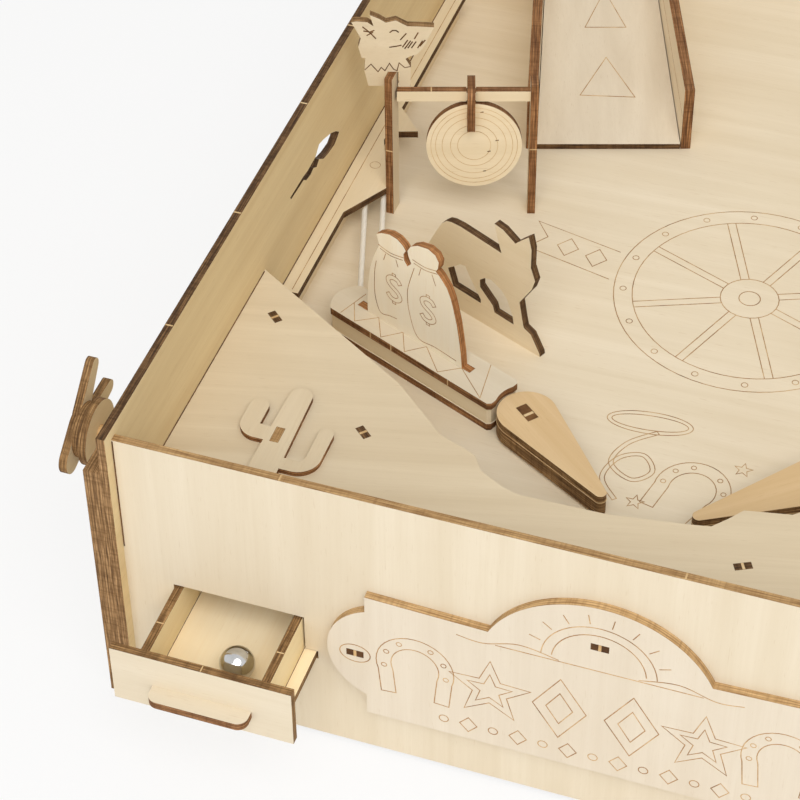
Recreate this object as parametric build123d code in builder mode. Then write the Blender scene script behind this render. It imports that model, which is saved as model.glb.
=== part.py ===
from build123d import *
import math
import os

# Tabletop pinball kit of laser-cut plywood.
# The box is a plain cuboid that leans towards the player by the tilt of the playfield.
# Box places: x across from the middle, y back from the front panel's face, z up from its bottom edge.

os.makedirs("parts", exist_ok=True)

# Sheet, fits and cuts
ply = 3.0
fit = 0.3
shaft_fit = 0.08
key_fit = 0.1
overrun = 2.0

# Box
inner_width = 327.0
box_length = 470.0
front_height = 119.0
wall_rise = 4.0
wall_overhang = 4.5
tilt_angle = 7.0
floor_gap = 1.0
panel_tab = 22.0
panel_tab_shares = (0.26, 0.78)

# Legs, two sheets thick, outside the walls
leg_top = 107.0
front_leg_width = 22.0
front_leg_flare = 12.0
front_leg_waist = 38.0
rear_leg_width = 46.0
rear_leg_foot = 34.0
rear_leg_top = 78.0

# Playfield, guides and shooter lane
deck_height = 50.0
deck_front = 74.0
guide_height = 13.0
lane_width = 13.5
lane_exit = 22.0
rear_beam_inset = 98.0
corner_radius = 110.0

# Left rail and the cap of the lane divider
rail_width = 7.2
rail_front = 143.5
rail_back_gap = 12.0
rail_overhang = 3.0
bump_width = 11.0
bump_length = 69.0
bump_y = 223.9
bump_shares = ((0.0, -0.448), (0.973, -0.174), (0.0, 0.233), (0.0, 0.314), (1.0, 0.368), (0.0, 0.551))

# Apron over the drain
apron_height = 83.0
apron_depth = 131.0
apron_edge_shares = (
    (0.0, 1.0), (0.2, 0.685), (0.265, 0.538), (0.29, 0.5145), (0.309, 0.493), (0.321, 0.446),
    (0.347, 0.411), (0.367, 0.395), (0.4596, 0.4), (0.543, 0.432), (0.562, 0.442), (0.576, 0.482),
    (0.5875, 0.521), (0.635, 0.545), (0.7, 0.685), (0.9, 0.93), (0.955, 0.93),
    (0.955, 0.55), (1.0, 0.55),
)
left_apron_wall_start = (6.0, 114.3)
left_apron_wall_end = (66.0, 59.3)
right_apron_wall_start = (6.0, 99.0)
right_apron_wall_end = (116.5, 42.2)
apron_wall_starts = {-1: left_apron_wall_start, 1: right_apron_wall_start}
apron_wall_ends = {-1: left_apron_wall_end, 1: right_apron_wall_end}
apron_tab = 6.0
apron_tab_shares = {-1: (0.11, 0.93), 1: (0.12, 0.967)}

# Cactus figures on the apron
cactus_spot = (36.5, 24.0)
cactus_height = 50.9
cactus_thick = 2.0
cactus_bar = 10.4
cactus_tip = 4.1
cactus_arm_shares = ((-0.234, 0.5265, 0.754, 0.1336, 0.0707), (0.285, 0.2908, 0.6326, 0.104, 0.102))
cactus_slot = 7.0
cactus_slot_share = 0.53

# Sign on the front panel
sign_drawer_gap = 0.6
sign_ear = 13.4
sign_low = 21.0
sign_top = 78.0
sign_notch = (36.5, 76.5)
sign_peak = 100.0
sign_ear_low = 30.0
sign_ear_top = 71.0
sign_peg = 6.0
sign_peg_inset = 9.7
sign_peg_low = 49.5
sign_peg_high = 82.0

# Drawer and ball
drawer_offset = 40.0
drawer_width = 45.0
drawer_depth = 56.0
drawer_open = 31.0
drawer_gap = 0.6
drawer_base_width = 54.0
drawer_base_z = 38.5
drawer_side_height = 15.0
drawer_short_side = 38.0
drawer_front_width = 63.0
drawer_front_height = 24.2
drawer_front_drop = 3.7
handle_width = 34.6
handle_depth = 6.4
handle_rise = 4.1
handle_corner = 3.6
ball_diameter = 12.0
ball_spot = (46.2, -18.1)

# Gutter that leads drained balls to the drawer
gutter_back_gap = 0.7
gutter_fence_y = 36.0
gutter_end_room = 9.0
gutter_rise = 6.5
fence_rise = 14.0

# Flippers
flipper_inset_share = 0.66248
flipper_shift = 2.4
flipper_y = 112.3
flipper_layers = 3
drain_gap = 30.2
flipper_rest_angle = 40.2
flipper_swing_angle = 45.0
flipper_heel = 10.8
flipper_tip = 2.2
flipper_lift = 1.5
shaft_diameter = 6.0
shaft_low = 29.0
key_length = 8.0
key_width = 4.2
crank_radius = 16.0
crank_heel = 7.0
crank_eye = 5.0
crank_low = 30.0
crank_pin = 4.0
pin_slack = 0.35

# Flipper buttons and their linkage
button_y = 42.0
button_z = 75.0
button_face = 35.5
disc_radius = 12.0
small_disc_radius = 10.0
rod_diameter = 6.0
rod_end = 53.0
link_inset = 20.5
link_front = 36.0
link_leg_front = 57.0
link_leg_back = 70.0
link_foot = 22.0
link_drop = 11.0
bar_low = 24.0
bar_head = 16.0
guide_inset = 62.0
guide_wall = 5.0
bracket_inset = 48.5
bracket_width = 16.0
bracket_height = 13.0
spring_radius = 4.5
spring_bore = 3.6

# Steer head plate on each button
head_angle = 26.0
head_radius = 7.5
muzzle_reach = 11.5
muzzle_radius = 5.2
horn_root = (4.0, 4.0)
horn_root_radius = 4.0
horn_tip = (20.0, 10.0)
horn_tip_radius = 2.7

# Plunger
plunger_knob_radius = 9.0
plunger_knob_length = 12.0
plunger_neck = 12.0
plunger_collar = 5.5
plunger_collar_y = 60.0
plunger_tip_y = 108.0
plunger_guide_height = 16.0

# Sling blocks with money bags, and bison
block_inset_share = 0.38647
block_y = 132.0
block_angle = 23.5
block_length = 81.1
block_shift = -1.85
block_width = 16.4
block_nose = 3.9
block_chamfer = 1.2
block_inset = 0.4
block_peg_room = 18.9
block_peg_inset = 14.9
heel_gap = 0.8
bag_width = 46.0
bag_height = 46.6
bag_depth = 1.2
bag_shift = 1.2
bag_tab_shares = ((-0.674, -0.543), (0.383, 0.513))
bag_shares = (
    (-0.565, 0.0), (-0.565, 0.139), (-0.548, 0.328), (-0.526, 0.483), (-0.487, 0.609), (-0.448, 0.71),
    (-0.422, 0.76), (-0.439, 0.794), (-0.454, 0.852), (-0.398, 0.891), (-0.315, 0.921), (-0.237, 0.918),
    (-0.174, 0.886), (-0.148, 0.852), (-0.172, 0.807), (-0.165, 0.747), (-0.133, 0.708), (-0.091, 0.755),
    (-0.122, 0.82), (-0.13, 0.863), (-0.096, 0.925), (-0.024, 0.974), (0.083, 1.0), (0.157, 0.979),
    (0.191, 0.927), (0.183, 0.863), (0.161, 0.824), (0.204, 0.794), (0.276, 0.719), (0.317, 0.633),
    (0.346, 0.534), (0.378, 0.408), (0.402, 0.27), (0.422, 0.139), (0.433, 0.0),
)
bison_spot = (72.0, 165.2)
bison_length = 58.5
bison_height = 54.0
bison_shares = (
    (-0.499, 0.0), (-0.499, 0.12), (-0.453, 0.185), (-0.462, 0.315), (-0.441, 0.431), (-0.405, 0.515),
    (-0.361, 0.611), (-0.325, 0.685), (-0.287, 0.726), (-0.246, 0.741), (-0.174, 0.746), (-0.075, 0.739),
    (0.067, 0.728), (0.166, 0.72), (0.135, 0.815), (0.104, 0.939), (0.174, 0.928), (0.274, 0.87),
    (0.326, 0.931), (0.379, 0.987), (0.403, 0.891), (0.402, 0.739), (0.439, 0.643), (0.414, 0.552),
    (0.368, 0.469), (0.321, 0.383), (0.347, 0.244), (0.362, 0.178), (0.421, 0.152), (0.494, 0.028),
    (0.499, 0.0),
)
bison_gap_shares = (
    ((-0.272, 0.319), (-0.227, 0.181), (0.005, 0.172), (0.005, 0.204), (-0.091, 0.354), (-0.128, 0.424),
     (-0.171, 0.413), (-0.214, 0.37)),
    ((-0.005, 0.378), (-0.003, 0.315), (0.106, 0.213), (0.121, 0.161), (0.279, 0.154), (0.268, 0.226),
     (0.217, 0.348), (0.173, 0.396), (0.087, 0.435), (0.031, 0.415)),
)
peg_radius = 2.3
dowel_radius = 2.0
band_thick = 1.0
band_height = 2.0
band_rise = 7.0

# Wolf's head on the gate's left post
wolf_rise = 58.0
wolf_shift = -1.1
wolf_width = 30.4
wolf_height = 32.2
wolf_foot = 5.0
wolf_foot_drop = 5.5
wolf_foot_share = 0.188
wolf_notch = 4.2
wolf_shares = (
    (-0.438, 0.901), (-0.378, 0.913), (-0.247, 0.901), (-0.171, 0.845), (-0.214, 1.0), (-0.105, 0.95),
    (-0.02, 0.894), (0.099, 0.925), (0.24, 0.845), (0.401, 0.839), (0.563, 0.829), (0.53, 0.748),
    (0.484, 0.661), (0.467, 0.599), (0.401, 0.5), (0.355, 0.447), (0.27, 0.422), (0.214, 0.385),
    (0.257, 0.307), (0.28, 0.264), (0.27, 0.0), (-0.247, 0.0), (-0.293, 0.22), (-0.28, 0.398),
    (-0.322, 0.398), (-0.362, 0.55), (-0.329, 0.677),
)

# Revolver shaped cut-out in each wall
gun_spot = (184.0, 91.0)
gun_length = 52.0
gun_height = 12.0
gun_shares = (
    (-0.498, 0.358), (-0.246, 0.325), (-0.148, 0.267), (0.01, 0.283), (0.088, 0.525), (0.173, 0.433),
    (0.26, 0.3), (0.331, 0.183), (0.431, -0.058), (0.494, -0.283), (0.456, -0.367), (0.394, -0.467),
    (0.262, -0.4), (0.16, -0.283), (0.077, -0.025), (0.023, -0.158), (-0.038, 0.0), (-0.098, -0.058),
    (-0.183, 0.0), (-0.235, 0.175), (-0.485, 0.25),
)

# Target gate
gate_spot = (19.0, 216.3)
gate_angle = 18.4
gate_span = 53.8
post_heights = (64.5, 61.3)
post_depth = 7.0
bar_rise = 52.9
bar_height = 4.6
bar_neck = 3.4
target_share = 0.5576
target_shift = 1.3
target_radius = 18.2
target_drop = 21.6
hook_radius = 2.8
hook_wall = 4.2
hanger_drop = 12.3
hanger_tab = 4.5

# Ramp
ramp_spot = (88.7, 278.3)
ramp_width = 57.2
ramp_length_share = 0.6624
ramp_rear_width = 41.2
ramp_rise = 25.0
ramp_side_front = 29.0
ramp_side_rear = 44.0
ramp_board = 4.0

SIDES = (("left", -1), ("right", 1))


# Derived sizes
half_width = inner_width / 2
wall_height = front_height + wall_rise
half_turn = 180
tilt_sin = math.sin(math.radians(tilt_angle))
tilt_cos = math.cos(math.radians(tilt_angle))
divider_x = half_width - lane_width - ply
play_centre = (divider_x - half_width) / 2
play_half = (divider_x + half_width) / 2
guide_top = deck_height + guide_height
corner_y = box_length - ply - corner_radius
rail_end = corner_y - rail_back_gap
lane_end = corner_y - lane_exit
rear_beam_y = box_length - rear_beam_inset
ramp_length = ramp_length_share * (box_length - ply - ramp_spot[1])
apron_under = apron_height - ply
rod_radius = rod_diameter / 2
ball_radius = ball_diameter / 2
drawer_x = drawer_offset - half_width
drawer_floor = drawer_base_z + ply
drawer_top = drawer_floor + drawer_side_height
drawer_back_y = drawer_depth - drawer_open
drawer_front_y = -drawer_open
handle_front_y = drawer_front_y - ply - handle_depth
handle_z = drawer_base_z + handle_rise
sign_ear_reach = -(drawer_x + drawer_front_width / 2 + sign_drawer_gap)
sign_half_width = sign_ear_reach - sign_ear
sign_peg_x = sign_ear_reach - sign_peg_inset
sign_peg_spots = ((-sign_peg_x, sign_peg_low), (0.0, sign_peg_high), (sign_peg_x, sign_peg_low))
plunger_x = half_width - lane_width / 2
plunger_z = deck_height + ball_radius
flipper_offset = (1 - flipper_inset_share) * play_half
flipper_reach = (flipper_offset - drain_gap / 2 - flipper_tip) / math.cos(math.radians(flipper_rest_angle))
half_swing = math.radians(flipper_swing_angle / 2)
crank_half = crank_radius * math.sin(half_swing)
button_travel = 2 * crank_half
crank_depth = crank_radius * math.cos(half_swing)

# The origin is under the middle of the whole part, on the floor
front_most = handle_front_y * tilt_cos - (handle_z + ply) * tilt_sin
rear_most = (box_length + wall_overhang) * tilt_cos
box_y = -(front_most + rear_most) / 2
box_z = floor_gap + wall_overhang * tilt_sin
BOX = Plane(origin=(0, box_y, box_z), x_dir=(1, 0, 0), z_dir=(0, -tilt_sin, tilt_cos))


def spot(x, y, z):
    """A place in the tilted box as a point of the part."""
    return BOX.from_local_coords(Vector(x, y, z))


def across(turn):
    """A direction in the playfield, turned from the box's x."""
    angle = math.radians(turn)
    return BOX.x_dir * math.cos(angle) + BOX.y_dir * math.sin(angle)


def deck(z, x=0, y=0, turn=0):
    """A plane parallel to the playfield."""
    return Plane(origin=spot(x, y, z), x_dir=across(turn), z_dir=BOX.z_dir)


def upright(x, y, z, turn=0):
    """A plane standing on the playfield, facing the player when not turned."""
    x_dir = across(turn)
    return Plane(origin=spot(x, y, z), x_dir=x_dir, z_dir=x_dir.cross(BOX.z_dir))


def flank(x, y=0, z=0, turn=0):
    """A plane parallel to the side walls, with its own x to the back and y up when not turned."""
    angle = math.radians(turn)
    x_dir = BOX.y_dir * math.cos(angle) + BOX.z_dir * math.sin(angle)
    return Plane(origin=spot(x, y, z), x_dir=x_dir, z_dir=BOX.x_dir)


def from_wall(s, reach):
    """An x measured from the left wall, or mirrored about the middle of the play."""
    return play_centre + s * (play_half - reach)


def save(name, *builders):
    """Write one node, as one solid or as a group of separate solids."""
    group = builders[0].part
    if len(builders) > 1:
        group = Compound(children=[solid for item in builders for solid in item.part.solids()])
    group.label = name
    export_step(group, f"parts/{name}.step")


def slab(plane, corner, size, thick):
    """A rectangular sheet from one corner of its plane."""
    with BuildPart() as sheet:
        with BuildSketch(plane):
            with Locations((corner[0] + size[0] / 2, corner[1] + size[1] / 2)):
                Rectangle(size[0], size[1])
        extrude(amount=thick)
    return sheet


def cylinder(plane, radius, length, bore=0):
    """A dowel, disc or tube that rises from its plane."""
    with BuildPart() as round_bar:
        with BuildSketch(plane):
            Circle(radius)
            if bore:
                Circle(bore, mode=Mode.SUBTRACT)
        extrude(amount=length)
    return round_bar


def outline(plane, points, thick):
    """A sheet cut to a straight-sided outline."""
    with BuildPart() as sheet:
        with BuildSketch(plane):
            with BuildLine():
                Polyline(*points, close=True)
            make_face()
        extrude(amount=thick)
    return sheet


def scaled(shares, size_x, size_y):
    """Points given as shares of two sizes."""
    return [(a * size_x, b * size_y) for a, b in shares]


# Front and back panels
tab_heights = [share * front_height for share in panel_tab_shares]
tab_spots = [(s * (half_width + ply / 2), height) for s in (-1, 1) for height in tab_heights]

with BuildPart() as front_panel:
    with BuildSketch(upright(0, ply, 0)):
        with Locations((0, front_height / 2)):
            Rectangle(inner_width, front_height)
        with Locations(*tab_spots):
            Rectangle(ply, panel_tab)
        with Locations((drawer_x, (drawer_floor + drawer_top + drawer_gap) / 2)):
            Rectangle(drawer_width + 2 * drawer_gap, drawer_side_height + drawer_gap, mode=Mode.SUBTRACT)
        with Locations((drawer_x, drawer_base_z + ply / 2)):
            Rectangle(drawer_base_width + 2 * drawer_gap, ply + 2 * fit, mode=Mode.SUBTRACT)
        with Locations((plunger_x, plunger_z)):
            Circle(rod_radius + shaft_fit, mode=Mode.SUBTRACT)
        with Locations(*sign_peg_spots):
            Rectangle(sign_peg, ply, mode=Mode.SUBTRACT)
    extrude(amount=ply)
save("front_panel", front_panel)

with BuildPart() as back_panel:
    with BuildSketch(upright(0, box_length, 0)):
        with Locations((0, front_height / 2)):
            Rectangle(inner_width, front_height)
        with Locations(*tab_spots):
            Rectangle(ply, panel_tab)
    extrude(amount=ply)
save("back_panel", back_panel)

# Side walls, with slots for the panels' tabs and a revolver shaped cut-out
tab_slots = [(y, height) for y in (ply / 2, box_length - ply / 2) for height in tab_heights]
for side, s in SIDES:
    with BuildPart() as wall:
        with BuildSketch(flank(s * half_width)):
            with Locations((box_length / 2, wall_height / 2)):
                Rectangle(box_length + 2 * wall_overhang, wall_height)
            with Locations(*tab_slots):
                Rectangle(ply, panel_tab, mode=Mode.SUBTRACT)
            with Locations((button_y, button_z)):
                Circle(rod_radius + shaft_fit, mode=Mode.SUBTRACT)
            with BuildLine():
                gun_points = scaled(gun_shares, gun_length, gun_height)
                Polyline(*[(gun_spot[0] + a, gun_spot[1] + b) for a, b in gun_points], close=True)
            make_face(mode=Mode.SUBTRACT)
        extrude(amount=s * ply)
    save(f"{side}_wall", wall)


def on_floor(y, z):
    """A place of the box as (y, z) of the part, for pieces that stand on the floor."""
    point = spot(0, y, z)
    return (point.Y, point.Z)


# Legs: two sheets each, the rear ones long enough to tilt the playfield
front_foot = on_floor(-wall_overhang, 0)
front_waist = on_floor(front_leg_width + front_leg_flare, front_leg_waist)
front_leg_points = [
    on_floor(-wall_overhang, leg_top), on_floor(front_leg_width, leg_top), front_waist,
    (front_waist[0], 0), (front_foot[0], 0), front_foot,
]
rear_edge = box_length + wall_overhang
rear_foot = on_floor(rear_edge, 0)
rear_leg_points = [
    on_floor(rear_edge - rear_leg_width, rear_leg_top), on_floor(rear_edge, rear_leg_top), rear_foot,
    (rear_foot[0], 0), (rear_foot[0] - rear_leg_foot, 0), on_floor(rear_edge - rear_leg_width, 0),
]
for end, points in (("front", front_leg_points), ("rear", rear_leg_points)):
    sheets = [(s, Plane.YZ.offset(s * (half_width + n * ply))) for s in (-1, 1) for n in (1, 2)]
    save(f"{end}_legs", *[outline(plane, points, s * ply) for s, plane in sheets])

# Playfield on two cross beams
pivots = {s: (play_centre + flipper_shift + s * flipper_offset, flipper_y) for side, s in SIDES}
with BuildPart() as playfield:
    with BuildSketch(deck(deck_height - ply)):
        with Locations((0, (deck_front + box_length - ply) / 2)):
            Rectangle(inner_width, box_length - ply - deck_front)
        with Locations(*pivots.values()):
            Circle(shaft_diameter / 2 + shaft_fit, mode=Mode.SUBTRACT)
    extrude(amount=ply)
save("playfield", playfield)

beam_height = deck_height - ply
with BuildPart() as front_beam:
    with BuildSketch(upright(0, deck_front + ply, 0)):
        with Locations((0, beam_height / 2)):
            Rectangle(inner_width, beam_height)
        for s, pivot in pivots.items():
            with Locations((pivot[0], bar_low + ply / 2)):
                Rectangle(bar_head + button_travel + 2 * overrun, ply + 2 * overrun, mode=Mode.SUBTRACT)
    extrude(amount=ply)
rear_beam = slab(upright(0, rear_beam_y + ply, 0), (-half_width, 0), (inner_width, beam_height), ply)
save("deck_beams", front_beam, rear_beam)

# Apron, its two slanted walls and the cactus figures
apron_points = [(a - half_width, b) for a, b in scaled(apron_edge_shares, inner_width, apron_depth)]


def apron_wall_line(s):
    """Run, length and turn of the slanted wall on one side."""
    run = [end - start for start, end in zip(apron_wall_starts[s], apron_wall_ends[s])]
    return run, math.hypot(*run), math.degrees(math.atan2(run[1], run[0]))


def apron_wall_spot(s, share):
    """A point on the slanted wall's line, a share of the way from its start."""
    run = apron_wall_line(s)[0]
    reach, y = [start + share * step for start, step in zip(apron_wall_starts[s], run)]
    return from_wall(s, reach), y


with BuildPart() as apron:
    with BuildSketch(deck(apron_under)):
        with BuildLine():
            Polyline((-half_width, ply), *apron_points, (half_width, ply), close=True)
        make_face()
        for s in (-1, 1):
            with Locations(*[apron_wall_spot(s, share) for share in apron_tab_shares[s]]):
                Rectangle(apron_tab, ply, rotation=-s * apron_wall_line(s)[2], mode=Mode.SUBTRACT)
    extrude(amount=ply)
save("apron", apron)

apron_walls = []
for side, s in SIDES:
    wall_length, wall_turn = apron_wall_line(s)[1:]
    with BuildPart() as apron_wall:
        with BuildSketch(upright(*apron_wall_spot(s, 0.5), deck_height, -s * wall_turn)):
            with Locations((0, (apron_under - deck_height) / 2)):
                Rectangle(wall_length, apron_under - deck_height)
            for share in apron_tab_shares[s]:
                with Locations((-s * (share - 0.5) * wall_length, apron_under - deck_height + ply / 2)):
                    Rectangle(apron_tab, ply)
        extrude(amount=ply / 2, both=True)
    apron_walls.append(apron_wall)
save("apron_walls", *apron_walls)

cacti = []
for side, s in SIDES:
    cactus_plane = deck(apron_height, from_wall(s, cactus_spot[0]), cactus_spot[1])
    slot_spot = (s * ply / 3, cactus_slot_share * cactus_height)
    with BuildPart() as cactus:
        with BuildSketch(cactus_plane):
            with Locations((0, cactus_height - cactus_tip)):
                Circle(cactus_tip)
            with Locations((0, cactus_tip)):
                Rectangle(cactus_bar, 2 * cactus_tip)
            make_hull()
            for reach_share, low_share, tip_share, bar_share, bend_share in cactus_arm_shares:
                arm_x = -s * reach_share * cactus_height
                arm_low = low_share * cactus_height
                arm_tip = (arm_x, tip_share * cactus_height)
                arm_bar = bar_share * cactus_height
                with BuildLine():
                    FilletPolyline((0, arm_low), (arm_x, arm_low), arm_tip, radius=bend_share * cactus_height)
                trace(line_width=arm_bar)
                with Locations(arm_tip):
                    Circle(arm_bar / 2)
            with Locations(slot_spot):
                Rectangle(ply + 2 * key_fit, cactus_slot + 2 * key_fit, mode=Mode.SUBTRACT)
        extrude(amount=cactus_thick)
    with BuildPart() as cactus_key:
        with BuildSketch(cactus_plane):
            with Locations(slot_spot):
                Rectangle(ply, cactus_slot)
        extrude(amount=cactus_thick)
    cacti.extend((cactus, cactus_key))
save("cactus_figures", *cacti)

# Sign and its three pegs
with BuildPart() as sign:
    with BuildSketch(upright(0, 0, 0)):
        ear_middle = (sign_ear_low + sign_ear_top) / 2
        with BuildLine():
            for s in (-1, 1):
                Line((0, sign_low), (s * sign_half_width, sign_low))
                Line((s * sign_half_width, sign_low), (s * sign_half_width, sign_ear_low))
                ThreePointArc((s * sign_half_width, sign_ear_low), (s * sign_ear_reach, ear_middle),
                              (s * sign_half_width, sign_ear_top))
                Line((s * sign_half_width, sign_ear_top), (s * sign_half_width, sign_top))
                Line((s * sign_half_width, sign_top), (s * sign_notch[0], sign_notch[1]))
            ThreePointArc((-sign_notch[0], sign_notch[1]), (0, sign_peak), sign_notch)
        make_face()
        with Locations(*sign_peg_spots):
            Rectangle(sign_peg, ply, mode=Mode.SUBTRACT)
    extrude(amount=ply)
save("sign_board", sign)

with BuildPart() as sign_pegs:
    with BuildSketch(upright(0, ply, 0)):
        with Locations(*sign_peg_spots):
            Rectangle(sign_peg, ply)
    extrude(amount=2 * ply)
save("sign_pegs", sign_pegs)

# Drawer, pulled out as in its rest pose
drawer_left = drawer_x - drawer_width / 2
base_left = drawer_x - drawer_base_width / 2
save("drawer_base", slab(deck(drawer_base_z), (base_left, drawer_front_y),
                         (drawer_base_width, drawer_depth), ply))
long_side = slab(deck(drawer_floor), (drawer_left, drawer_front_y), (ply, drawer_depth), drawer_side_height)
short_side = slab(deck(drawer_floor), (drawer_left + drawer_width - ply, drawer_front_y),
                  (ply, drawer_short_side), drawer_side_height)
save("drawer_sides", long_side, short_side)
save("drawer_back", slab(deck(drawer_floor), (drawer_left + ply, drawer_back_y - ply),
                         (drawer_width - ply, ply), drawer_side_height))
save("drawer_front", slab(upright(0, drawer_front_y, 0),
                          (drawer_x - drawer_front_width / 2, drawer_base_z - drawer_front_drop),
                          (drawer_front_width, drawer_front_height), ply))
with BuildPart() as handle:
    with BuildSketch(deck(handle_z)):
        with Locations((drawer_x, handle_front_y + handle_depth / 2)):
            Rectangle(handle_width, handle_depth)
        front_corners = sorted(vertices(), key=lambda corner: BOX.to_local_coords(corner).Y)
        fillet(front_corners[:2], radius=handle_corner)
    extrude(amount=ply)
save("drawer_handle", handle)

with BuildPart() as ball:
    with Locations(spot(ball_spot[0] - half_width, ball_spot[1], drawer_floor + fit + ball_radius)):
        Sphere(ball_radius)
save("ball", ball)

# Shelf under the drawer, and the gutter that feeds it
shelf_low = drawer_base_z - fit - ply
save("drawer_shelf", slab(deck(shelf_low), (base_left - ply, ply),
                          (drawer_base_width + 2 * ply, link_leg_front - overrun - ply), ply))
gutter_end = from_wall(1, apron_wall_ends[-1][0] + gutter_end_room)
gutter_left = base_left + drawer_base_width + gutter_back_gap
gutter_low = drawer_base_z + fit
fence_back = gutter_fence_y + ply
gutter_points = [(gutter_left, gutter_low), (gutter_end, gutter_low + gutter_rise),
                 (gutter_end, gutter_low + gutter_rise + ply), (gutter_left, gutter_low + ply)]
gutter_floor = outline(upright(0, deck_front, 0), gutter_points, deck_front - fence_back)
fence_points = [(gutter_left, gutter_low), (gutter_end, gutter_low + gutter_rise),
                (gutter_end, gutter_low + gutter_rise + fence_rise), (gutter_left, gutter_low + fence_rise)]
save("gutter", gutter_floor, outline(upright(0, fence_back, 0), fence_points, ply))


def rail_plate(s, back):
    """The plate on a rail, with its bump over the band's peg."""
    bump = [(rail_width + a, bump_y + b) for a, b in scaled(bump_shares, bump_width, bump_length)]
    points = [(-back, rail_front), (rail_width, rail_front), *bump, (rail_width, rail_end), (-back, rail_end)]
    with BuildPart() as plate:
        with BuildSketch(deck(guide_top - ply)):
            with BuildLine():
                Polyline(*[(from_wall(s, reach), y) for reach, y in points], close=True)
            make_face()
            with Locations((from_wall(s, peg_reach), bump_y)):
                Circle(dowel_radius + key_fit, mode=Mode.SUBTRACT)
            if s < 0:
                with Locations((gate_spot[0] - half_width, gate_spot[1])):
                    Rectangle(ply + 2 * key_fit, post_depth + 2 * key_fit, mode=Mode.SUBTRACT)
        extrude(amount=ply)
    return plate


# Left rail, lane divider and the curved corner guides
peg_reach = rail_width + dowel_radius
wall_rise_height = guide_height - ply
rail_wall = slab(deck(deck_height), (from_wall(-1, rail_width - rail_overhang - ply), rail_front),
                 (ply, rail_end - rail_front), wall_rise_height)
save("left_rail", rail_plate(-1, 0), rail_wall)
divider = slab(deck(deck_height), (divider_x, deck_front), (ply, lane_end - deck_front), wall_rise_height)
save("lane_divider", rail_plate(1, ply), divider)

corner_guides = []
for side, s in SIDES:
    with BuildPart() as corner_guide:
        with BuildSketch(deck(deck_height, s * (half_width - corner_radius), box_length - ply - corner_radius)):
            Circle(corner_radius)
            Circle(corner_radius - ply, mode=Mode.SUBTRACT)
            with Locations((s * corner_radius / 2, corner_radius / 2)):
                Rectangle(corner_radius, corner_radius, mode=Mode.INTERSECT)
        extrude(amount=guide_height)
    corner_guides.append(corner_guide)
save("corner_guides", *corner_guides)

# Flippers, each on a keyed shaft with a crank under the playfield
blade_low = deck_height + flipper_lift
blade_top = blade_low + flipper_layers * ply
for side, s in SIDES:
    pivot = pivots[s]
    rest_turn = -flipper_rest_angle if s < 0 else flipper_rest_angle - half_turn
    blades = []
    for layer in range(flipper_layers):
        with BuildPart() as blade:
            with BuildSketch(deck(blade_low + layer * ply, pivot[0], pivot[1], rest_turn)):
                Circle(flipper_heel)
                with Locations((flipper_reach, 0)):
                    Circle(flipper_tip)
                make_hull()
                Rectangle(key_length + 2 * key_fit, key_width + 2 * key_fit, mode=Mode.SUBTRACT)
            extrude(amount=ply)
        blades.append(blade)
    save(f"{side}_flipper_blades", *blades)
    with BuildPart() as shaft:
        with BuildSketch(deck(shaft_low, pivot[0], pivot[1], rest_turn)):
            Circle(shaft_diameter / 2)
        extrude(amount=blade_low - shaft_low)
        with BuildSketch(deck(blade_low, pivot[0], pivot[1], rest_turn)):
            Rectangle(key_length, key_width)
        extrude(amount=flipper_layers * ply)
    save(f"{side}_flipper_shaft", shaft)
    crank_turn = -90 + s * flipper_swing_angle / 2
    with BuildPart() as crank:
        with BuildSketch(deck(crank_low, pivot[0], pivot[1], crank_turn)):
            Circle(crank_heel)
            with Locations((crank_radius, 0)):
                Circle(crank_eye)
            make_hull()
            Circle(shaft_diameter / 2 + key_fit / 2, mode=Mode.SUBTRACT)
        extrude(amount=ply)
        with BuildSketch(deck(bar_low - overrun, pivot[0], pivot[1], crank_turn)):
            with Locations((crank_radius, 0)):
                Circle(crank_pin / 2)
        extrude(amount=crank_low - bar_low + overrun)
    save(f"{side}_flipper_crank", crank)

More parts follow.
